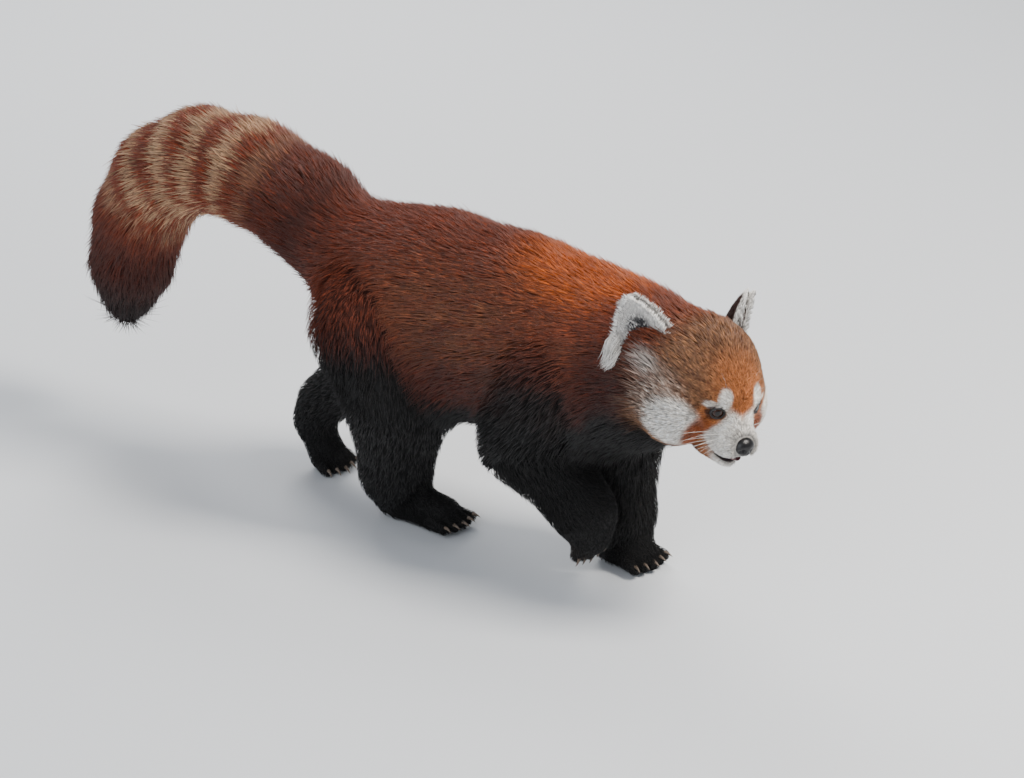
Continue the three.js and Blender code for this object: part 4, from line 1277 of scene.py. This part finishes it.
# %% Rods kept as a plain mesh
def rods(name, roots, ways, lengths, tree):
    """Grows the tree's rod at each root, in mm, and keeps the result as a plain mesh."""
    mesh = bpy.data.meshes.new(name + "_roots")
    mesh.from_pydata([tuple(p) for p in to_frame(roots)], [], [])
    metres = np.asarray(lengths, np.float32) / 1000
    fields = (("way", "FLOAT_VECTOR", "vector", ways), ("long", "FLOAT", "value", metres))
    for label, kind, field, given in fields:
        layer = mesh.attributes.new(label, kind, "POINT")
        layer.data.foreach_set(field, np.asarray(given, np.float32).ravel())
    seed = bpy.data.objects.new(name + "_roots", mesh)
    bpy.context.scene.collection.objects.link(seed)
    modifier = seed.modifiers.new("Rods", "NODES")
    modifier.node_group = tree
    made = bpy.data.meshes.new_from_object(seed.evaluated_get(bpy.context.evaluated_depsgraph_get()))
    bpy.data.objects.remove(seed)
    made.name = name
    obj = bpy.data.objects.new(name, made)
    bpy.context.scene.collection.objects.link(obj)
    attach(obj, "root")
    print(name + ":", len(roots), "rods,", triangles(obj), "triangles")
    return obj


# %% Claws
# Horn is a dull brown with a faint grain.
HORN, tree, shader = finish_of("Claw_horn", 0.35, "#6a5c50")
grain(tree, shader, 0.8, 0.25)
CLAW_LENGTH = 9.0
roots, ways = [], []
for leg in LEGS:
    for root, way, reach, radius in toe_lines(leg):
        down = unit(np.cross([0, 1, 0], way))
        roots.append(root + way * (reach - 1.0) - down * radius * 0.45)
        ways.append(unit(way - down * 0.12))
claw_tree = rod_tree("Claw_rods", 0.22, 0.36, 12, HORN)
rods("Claws", roots, ways, [CLAW_LENGTH] * len(roots), claw_tree)


# %% Whiskers
def on_skin(outside, inside):
    """The place where a line in the head's frame first meets the skin."""
    near, far = from_head(outside), from_head(inside)
    for _ in range(24):
        middle = (near + far) / 2
        if head_field(middle[None].astype(np.float32), BODY_LESS["head"])[0] > 0:
            near = middle
        else:
            far = middle
    return far


# A whisker is white keratin, stiff and a little shiny.
BRISTLE, tree, shader = finish_of("Whisker_keratin", 0.4, "#f4f1ea")
grain(tree, shader, 0.5, 0.1)
roots, ways, lengths = [], [], []
for side in (1, -1):
    for row, (height, count) in enumerate(((-14, 4), (-20, 5), (-26, 5))):
        for i in range(count):
            x = 63 - i * 4.5 - row * 1.0
            roots.append(on_skin((x, side * 45, height), (x, 0, height)))
            way = unit(np.array([0.25 - 0.22 * i, side, -0.05 - 0.12 * row]) + rng.normal(0, 0.07, 3))
            ways.append(way @ HEAD_AXES.T)
            lengths.append((26 + 6 * i) * rng.uniform(0.85, 1.15))
for side in (1, -1):
    for i in range(3):
        roots.append(on_skin((50 - 3 * i, side * 16, 50), (50 - 3 * i, side * 16, 0)))
        ways.append(unit(np.array([0.3 - 0.3 * i, side * 0.5, 0.8])) @ HEAD_AXES.T)
        lengths.append(20 - 2 * i)
whisker_tree = rod_tree("Whisker_rods", 0.0045, 0.18, 5, BRISTLE)
rods("Whiskers", roots, ways, lengths, whisker_tree)

# %% [markdown]
# ## Studio
# The photograph was taken from the animal's right, a little ahead and well above it. A long lens
# keeps the proportions of a life-size model true. The floor is plain and pale, so that the
# dark legs read against it, and the light is soft, from large square lamps.

# %% Camera
AZIMUTH, ELEVATION, DISTANCE = math.radians(38), math.radians(22), 4.5
TARGET = to_frame((0, 0, 180))
LENS, SENSOR = 158.203, 36.0
SHIFT = (-0.0180, -0.0092)

camera = bpy.data.objects.new("Camera", bpy.data.cameras.new("Camera"))
flat = math.cos(ELEVATION)
back = np.array([math.sin(AZIMUTH) * flat, -math.cos(AZIMUTH) * flat, math.sin(ELEVATION)])
camera.location = TARGET + back * DISTANCE
camera.rotation_euler = (math.pi / 2 - ELEVATION, 0, AZIMUTH)
camera.data.lens, camera.data.sensor_width = LENS, SENSOR
camera.data.shift_x, camera.data.shift_y = SHIFT
camera.data.clip_end = 30
bpy.context.scene.collection.objects.link(camera)
bpy.context.scene.camera = camera
print("camera at", [round(v, 3) for v in camera.location])


# %% Lights
AIM = np.array([0.05, 0, 0.2])  # near the middle of the animal, in metres


def lamp(name, place, size, watts, colour):
    """A square lamp turned to the animal."""
    light = bpy.data.lights.new(name, "AREA")
    light.size, light.energy, light.color = size, watts, colour
    obj = bpy.data.objects.new(name, light)
    obj.location = place
    obj.rotation_euler = Vector(AIM - np.array(place)).to_track_quat("-Z", "Y").to_euler()
    bpy.context.scene.collection.objects.link(obj)


lamp("Key_light", (1.6, 0.5, 2.2), 0.9, 95, (1.0, 0.95, 0.88))
lamp("Fill_light", (0.6, -2.6, 1.5), 2.2, 38, (0.93, 0.96, 1.0))
lamp("Rim_light", (-1.6, 1.5, 1.7), 1.2, 45, (1.0, 0.98, 0.95))
SKY, SKY_STRENGTH = (0.80, 0.84, 0.90, 1), 0.55
world = bpy.data.worlds.new("Studio")
world.use_nodes = True
world.node_tree.nodes["Background"].inputs[0].default_value = SKY
world.node_tree.nodes["Background"].inputs[1].default_value = SKY_STRENGTH
bpy.context.scene.world = world

# %% Floor
# Matt plaster scatters light evenly, so that only soft shadows show on it.
FLOOR_SIDE = 12.0
plaster, tree, shader = finish_of("Matt_plaster_floor", 0.9, "#dfe2e6")
grain(tree, shader, 6.0, 0.15)
corners = np.array([(-1, -1, 0), (1, -1, 0), (1, 1, 0), (-1, 1, 0)]) * FLOOR_SIDE * 500 - CENTRE
floor = piece("Floor", corners, [(0, 1, 2, 3)], plaster, smooth=False)
